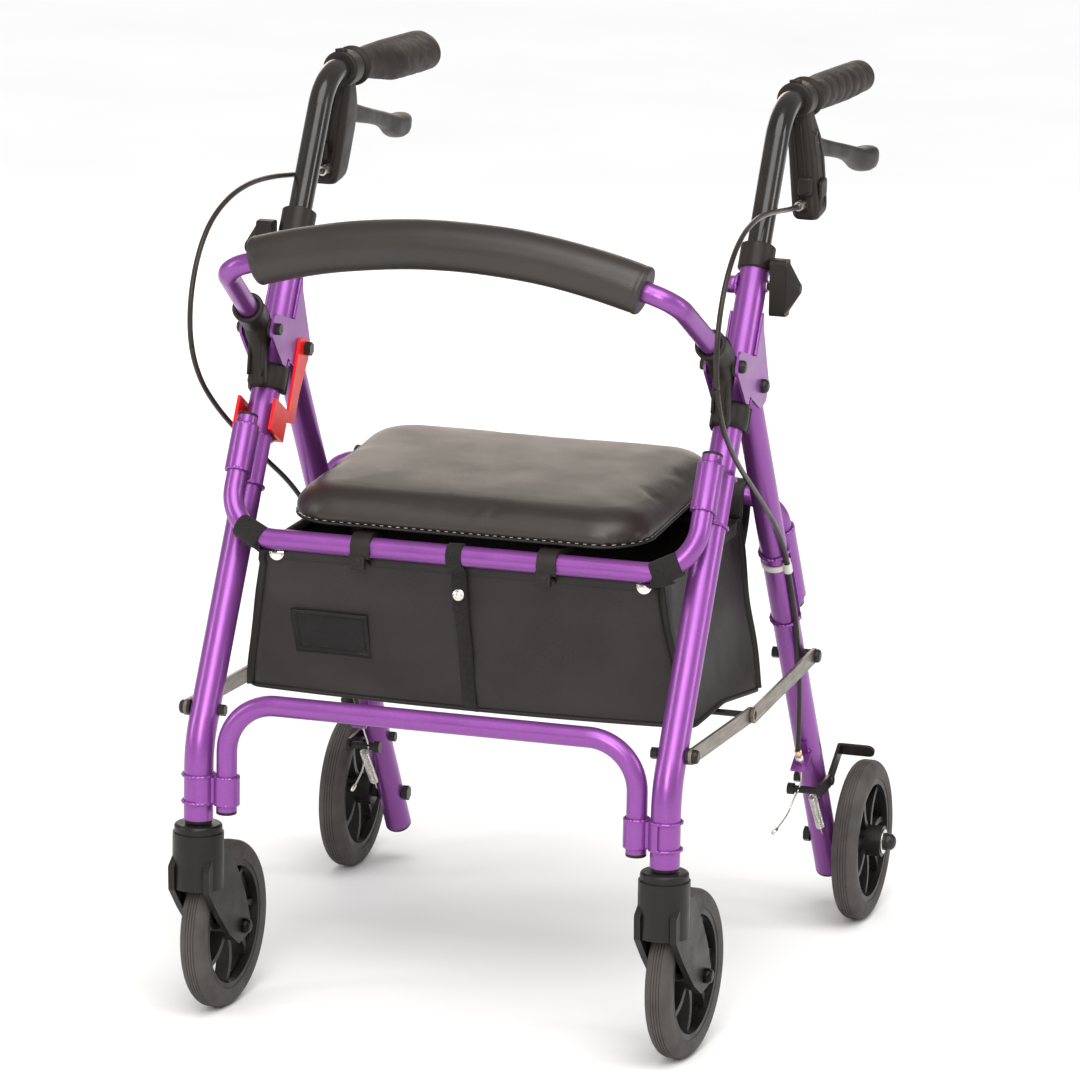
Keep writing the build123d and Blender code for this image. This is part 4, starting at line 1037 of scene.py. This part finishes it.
def make_straps():
    """Webbing bands, corner snaps, snap plates and the centre strap."""
    out = Vector((0, -1, 0.22)).normalized()
    front, rear = [], []
    for sign in (-1, 1):
        point, along = rail_point(0.30)
        point = on_side(point, sign)
        along = on_side(along, sign).normalized()
        front.append(band("rail_band", point, along, 0.027, RAIL_R, TAPE_THICK))
        drop = [point + Vector((0, -0.0075, -0.007)), point + Vector((-0.006 * sign, -0.002, -0.016)),
                front_face(0.178 * sign, 0.434) + Vector((0, -0.001, 0.0)),
                front_face(0.176 * sign, 0.427)]
        front.append(ribbon("band_tail", drop, Vector((1, 0, 0.2 * sign)), 0.022, 0.0018,
                            "webbing"))
        snap = front_face(0.1745 * sign, 0.4275) + Vector((0, -0.0010, 0))
        front.append(disc("corner_snap", snap, out, 0.0072, 0.0030, "snap"))
        run = Vector((0.088 * sign - 0.003, FRONT_RAIL.y, FRONT_RAIL.z))
        plate = run + Vector((0, -0.0085, -0.0120))
        corners = [plate + Vector((x, 0, z)) for x, z in
                   ((-0.0075, -0.0072), (0.0075, -0.0072), (0.0075, 0.0072), (-0.0075, 0.0072))]
        front.append(plaque("snap_plate", corners, Vector((0, -1, 0)), 0.0030, 0.0012,
                            "black_plastic"))
        front.append(disc("snap_dimple", plate + Vector((0, -0.0028, 0)), (0, -1, 0), 0.0042,
                          0.0012, "black_plastic"))
        front.append(ribbon("plate_tail", [run + Vector((0, 0.004, -0.0096)), plate +
                     Vector((0, 0.003, 0)), front_face(run.x, 0.423)], Vector((1, 0, 0)),
                            0.014, TAPE_THICK, "webbing"))
        back = Vector((0.150 * sign, REAR_RAIL.y, REAR_RAIL.z))
        rear.append(band("rear_band", back, Vector((1, 0, 0)), 0.025, 0.0150, 0.0014))
    front.append(band("centre_band", Vector((0, FRONT_RAIL.y, FRONT_RAIL.z)), Vector((1, 0, 0)),
                      0.0145, RAIL_R, TAPE_THICK))
    tail = [Vector((0, FRONT_RAIL.y - 0.0098, FRONT_RAIL.z)),
            Vector((0.0004, FRONT_RAIL.y - 0.0088, FRONT_RAIL.z - 0.009))]
    for z in (0.428, 0.418, 0.408, 0.400, 0.393, 0.388):
        tail.append(front_face(0.001, z) + Vector((0, -0.0042, 0)))
    upper = ribbon("centre_upper", nurbs_points(tail, 4), Vector((1, 0, 0.05)), 0.0145,
                   TAPE_THICK, "webbing")
    lower_line = [front_face(0.0016, z) + Vector((0, -0.0032, 0)) for z in
                  (0.418, 0.400, 0.375, 0.350, 0.325, 0.303, 0.294)]
    lower_line.append(Vector((0.001, -0.188, 0.2868)))
    lower = ribbon("centre_lower", nurbs_points(lower_line, 4), Vector((1, -0.12, 0)), 0.0140,
                   TAPE_THICK, "webbing")
    snap = front_face(0.0008, 0.4045) + Vector((0, -0.0050, 0))
    front += [upper, lower, disc("centre_snap", snap, out, 0.0055, 0.0034, "zinc_steel")]
    strap = join("front_straps", front)
    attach(strap, "root")
    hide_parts("pouch_straps")
    back_straps = join("rear_straps", rear)
    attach(back_straps, "rear_frame")
    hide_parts("pouch_straps")


def make_patch():
    """A blank sewn patch: a black plate with a raised border and a row of stitches."""
    x0, x1, z0, z1 = -0.1635, -0.0895, 0.3310, 0.3745
    columns, rows = 20, 12
    points, faces = [], []
    for i in range(columns + 1):
        for j in range(rows + 1):
            x, z = x0 + (x1 - x0) * i / columns, z0 + (z1 - z0) * j / rows
            edge = min(x - x0, x1 - x, z - z0, z1 - z)
            border = 0.0007 if edge < 0.0035 else 0.0
            points.append(front_face(x, z) + Vector((0, -0.0006 - border, 0)))
    for i in range(columns):
        for j in range(rows):
            a = i * (rows + 1) + j
            faces.append((a, a + 1, a + rows + 2, a + rows + 1))
    patch = add_piece("blank_patch", points, faces, "patch")
    modify(patch, "SOLIDIFY", thickness=0.0014, offset=0)
    stitches = []
    inset = 0.0050
    ring = [(x0 + inset, z0 + inset), (x1 - inset, z0 + inset), (x1 - inset, z1 - inset),
            (x0 + inset, z1 - inset)]
    for (ax, az), (bx, bz) in zip(ring, ring[1:] + ring[:1]):
        count = round(math.hypot(bx - ax, bz - az) / 0.0034)
        for i in range(count):
            spots = []
            for t in (i + 0.2, i + 0.8):
                x, z = ax + (bx - ax) * t / count, az + (bz - az) * t / count
                spots.append(front_face(x, z) + Vector((0, -0.0015, 0)))
            stitches.append(tube("stitch", spots, 0.00045, "pouch_edge", 5))
    patch = join("blank_patch", [patch] + stitches)
    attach(patch, "root")


# ---- backrest brackets and small hardware -----------------------------------------------------
KNOB_AT, CLIP_AT = 0.478, 0.351      # up the front tube from its bend
CLIP_REACH = math.radians(112)       # half the clip's arc round the tube
AXLE_HEIGHT = 0.0775


def superloop(centre, u, v, half_u, half_v, power=3.0, count=32):
    """Points round a soft-cornered rectangle across the directions u and v."""
    ring = []
    for angle in round_angles(count):
        c, s = math.cos(angle), math.sin(angle)
        grow = (abs(c) ** power + abs(s) ** power) ** (-1 / power)
        ring.append(centre + u * (half_u * c * grow) + v * (half_v * s * grow))
    return ring


def make_brackets():
    """Moulded elbows for the backrest: a socket, a waisted web, and a clip round the tube."""
    foot = Vector((TUBE_X, -0.163, 0.629))
    corner = Vector((0.2117, -0.2707, 0.695))
    up = (corner - foot).normalized()
    side = up.cross(Vector((1, 0, 0))).normalized()
    across = side.cross(up)
    rungs = ((-0.0075, 0.0095), (-0.0065, 0.0115), (-0.0030, 0.0132), (0.0080, 0.0136),
             (0.0230, 0.0138), (0.0255, 0.0146), (0.0290, 0.0147), (0.0305, 0.0138),
             (0.0306, 0.0098), (0.0270, 0.0097))
    socket = loft("socket", [superloop(foot + up * s, across, side, r, r, 2.0, 40)
                             for s, r in rungs], "black_plastic", closed_ends=False)
    x_axis = Vector((1, 0, 0))
    web_line = [(-0.1700, 0.6420, 0.0085, 0.0100), (-0.1640, 0.6330, 0.0100, 0.0135),
                (-0.1560, 0.6240, 0.0108, 0.0148), (-0.1510, 0.6150, 0.0108, 0.0140),
                (-0.1495, 0.6050, 0.0090, 0.0115), (-0.1500, 0.5950, 0.0078, 0.0090),
                (-0.1515, 0.5850, 0.0076, 0.0078), (-0.1530, 0.5760, 0.0082, 0.0076),
                (-0.1545, 0.5690, 0.0090, 0.0072), (-0.1555, 0.5640, 0.0076, 0.0056)]
    rings = []
    for i, (y, z, half_x, half_n) in enumerate(web_line):
        a, b = web_line[max(i - 1, 0)], web_line[min(i + 1, len(web_line) - 1)]
        along = Vector((0, b[0] - a[0], b[1] - a[1])).normalized()
        rings.append(superloop(Vector((TUBE_X, y, z)), x_axis, along.cross(x_axis),
                               half_x, half_n, 3.2))
    web = loft("web", rings, "black_plastic")
    pieces = [socket, web]
    clip = []
    for i in range(33):
        angle = math.radians(-112 + 224 * i / 32)
        out = FORWARD * math.cos(angle) + x_axis * math.sin(angle)
        centre = front_at(CLIP_AT) + out * (MAIN_R + 0.0022)
        clip.append(superloop(centre, UP, out, 0.0118, 0.0019, 4.0, 24))
    pieces.append(loft("clip", clip, "black_plastic"))
    for sign in (-1, 1):
        out = FORWARD * math.cos(CLIP_REACH) + x_axis * (sign * math.sin(CLIP_REACH))
        lip = front_at(CLIP_AT) + out * (MAIN_R + 0.0026)
        pieces.append(tube("lip", [lip + UP * s for s in (-0.0120, -0.0112, 0.0112, 0.0120)],
                           lambda t, a: 0.0018 if t in (0, 1) else 0.0029, "black_plastic", 16))
        rib = [Vector((TUBE_X + sign * 0.0065, y - 0.0085, z)) for y, z, _, _ in web_line[3:8]]
        pieces.append(tube("rib", rib, 0.0016, "black_plastic", 8))
    boss = [Vector((TUBE_X + x, -0.150, 0.618)) for x in (-0.0130, -0.0125, 0.0125, 0.0130)]
    pieces.append(tube("boss", boss, lambda t, a: 0.0086 if t in (0, 1) else 0.0092,
                       "black_plastic", 28))
    left = join("backrest_bracket_left", pieces)
    for obj in (left, mirrored(left, "backrest_bracket_right")):
        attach(obj, "backrest")
        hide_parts("backrest_brackets")


def make_hardware():
    """The knobs' bright studs, and washers with a rolled edge outside the rear hubs."""
    for side, sign in SIDES:
        line = [front_at(KNOB_AT, 0, (TUBE_X + MAIN_R + d) * sign) for d in (0.0002, 0.0012, 0.0016)]
        stud = tube("knob_stud_" + side, line, 0.0056, "zinc_steel", 24)
        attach(stud, "height_knob_" + side)
        axle = rear_at((PIVOT.z - AXLE_HEIGHT) / -DOWN.z)
        line = [Vector(((0.2812 + d) * sign, axle.y, axle.z)) for d in (0.0, 0.0002, 0.0010, 0.0012)]
        washer = tube("axle_washer_" + side, line,
                      lambda t, a: 0.0112 if t in (0, 1) else 0.0118, "zinc_steel", 36)
        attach(washer, "rear_frame")


# ---- weld beads -------------------------------------------------------------------------------
WELD_R = 0.0017


def scales(share, _angle):
    """A weld's radius: overlapping scales, not all of one size."""
    return WELD_R * (0.76 + 0.26 * abs(math.sin(share * 52)) + 0.08 * math.sin(share * 17))


def bead(centre, along, radius, size=WELD_R):
    """A weld round a tube: overlapping scales along a circle."""
    along = along.normalized()
    u = along.cross(Vector((1, 0, 0.01))).normalized()
    v = along.cross(u)
    steps = 120
    line = []
    for i in range(steps + 1):
        angle = 2 * math.pi * i / steps
        line.append(centre + (u * math.cos(angle) + v * math.sin(angle)) * radius)
    return tube("bead", line, lambda t, a: scales(t, a) * size / WELD_R, "frame_paint", 8)


def make_welds():
    front, rear = [], []
    for s in (0.2505, 0.2935):
        front.append(bead(front_at(s, 0.034), UP, RAIL_R + 0.0012))
    for s in (0.2475, 0.2940):
        front.append(bead(front_at(s), UP, MAIN_R + 0.0010))
    for z in (0.2085, 0.2335):
        front.append(bead(Vector((0.194, BEND.y, z)), Vector((0, 0, 1)), RAIL_R + 0.0012))
        front.append(bead(Vector((TUBE_X, BEND.y, z)), Vector((0, 0, 1)), MAIN_R + 0.0010))
    for x in (TUBE_X - MAIN_R - 0.0010, TUBE_X + MAIN_R + 0.0010):
        for low, high, n in ((0.4100, 0.4500, 0.0026), (0.3660, 0.4040, -0.0062)):
            line = [front_at(low + (high - low) * i / 60, n, x) for i in range(61)]
            front.append(tube("seam", line, scales, "frame_paint", 8))
    nut = [front_at(KNOB_AT, 0, TUBE_X - MAIN_R - d) for d in (-0.0008, 0.0086, 0.0092)]
    front.append(tube("nut", nut, lambda t, a: 0.0088 if t < 0.9 else 0.0076, "frame_paint", 6))
    boss = front_at(KNOB_AT, 0, TUBE_X - MAIN_R + 0.0004)
    front.append(bead(boss, Vector((1, 0, 0.001)), 0.0094))
    for s in (0.2120, 0.2990):
        rear.append(bead(rear_at(s, -0.030), DOWN, RAIL_R + 0.0012))
        rear.append(bead(rear_at(s), DOWN, REAR_R + 0.0010))
    rear.append(bead(rear_at(0.4715, 0.0128), REAR_FORWARD, 0.0056, 0.0013))
    for name, pieces, body in (("front_welds_", front, "root"), ("rear_welds_", rear, "rear_frame")):
        left = join(name + "left", pieces)
        right = mirrored(left, name + "right")
        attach(left, body)
        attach(right, body)


# ---- floor and light --------------------------------------------------------------------------
def make_stage():
    size = 30.0
    floor = add_piece("floor", [(-size, -size, 0), (size, -size, 0), (size, size, 0),
                                (-size, size, 0)], [(0, 1, 2, 3)], "floor_paint")
    world = bpy.data.worlds.new("studio")
    scene.world = world
    world.use_nodes = True
    world.node_tree.nodes["Background"].inputs["Color"].default_value = (1, 1, 1, 1)
    world.node_tree.nodes["Background"].inputs["Strength"].default_value = 0.42
    sun = bpy.data.lights.new("sky", "SUN")
    sun.energy = 2.5
    sun.angle = math.radians(50)
    sky = bpy.data.objects.new("sky", sun)
    sky.rotation_euler = (math.radians(24), math.radians(14), 0)
    scene.collection.objects.link(sky)
    for name, place, size_x, size_y, power, color in (
            ("key", (0.4, -3.4, 2.0), 1.2, 1.6, 58, (1, 0.98, 0.95)),
            ("fill", (-3.0, -1.6, 1.6), 0.7, 1.8, 26, (1, 0.99, 0.97)),
            ("side", (3.2, 0.2, 1.6), 0.7, 1.8, 26, (1, 0.99, 0.97)),
            ("sheen", (-1.3, 3.6, 1.35), 3.2, 1.5, 34, (1, 0.88, 0.76))):
        light = bpy.data.lights.new(name, "AREA")
        light.shape = "RECTANGLE"
        light.size, light.size_y = size_x, size_y
        light.energy = power
        light.color = color
        lamp = bpy.data.objects.new(name, light)
        lamp.location = place
        lamp.visible_camera = False
        aim = Vector((0, 0, 0.45)) - Vector(place)
        lamp.rotation_euler = aim.to_track_quat("-Z", "Y").to_euler()
        scene.collection.objects.link(lamp)
    scene.view_settings.view_transform = "Standard"


make_camera()
dress_cad_nodes()
make_stage()
make_cables()
make_springs()
make_wires()
make_seat()
make_backrest()
make_handles()
make_pouch()
make_pouch_flap()
make_straps()
make_patch()
make_brackets()
make_hardware()
make_welds()
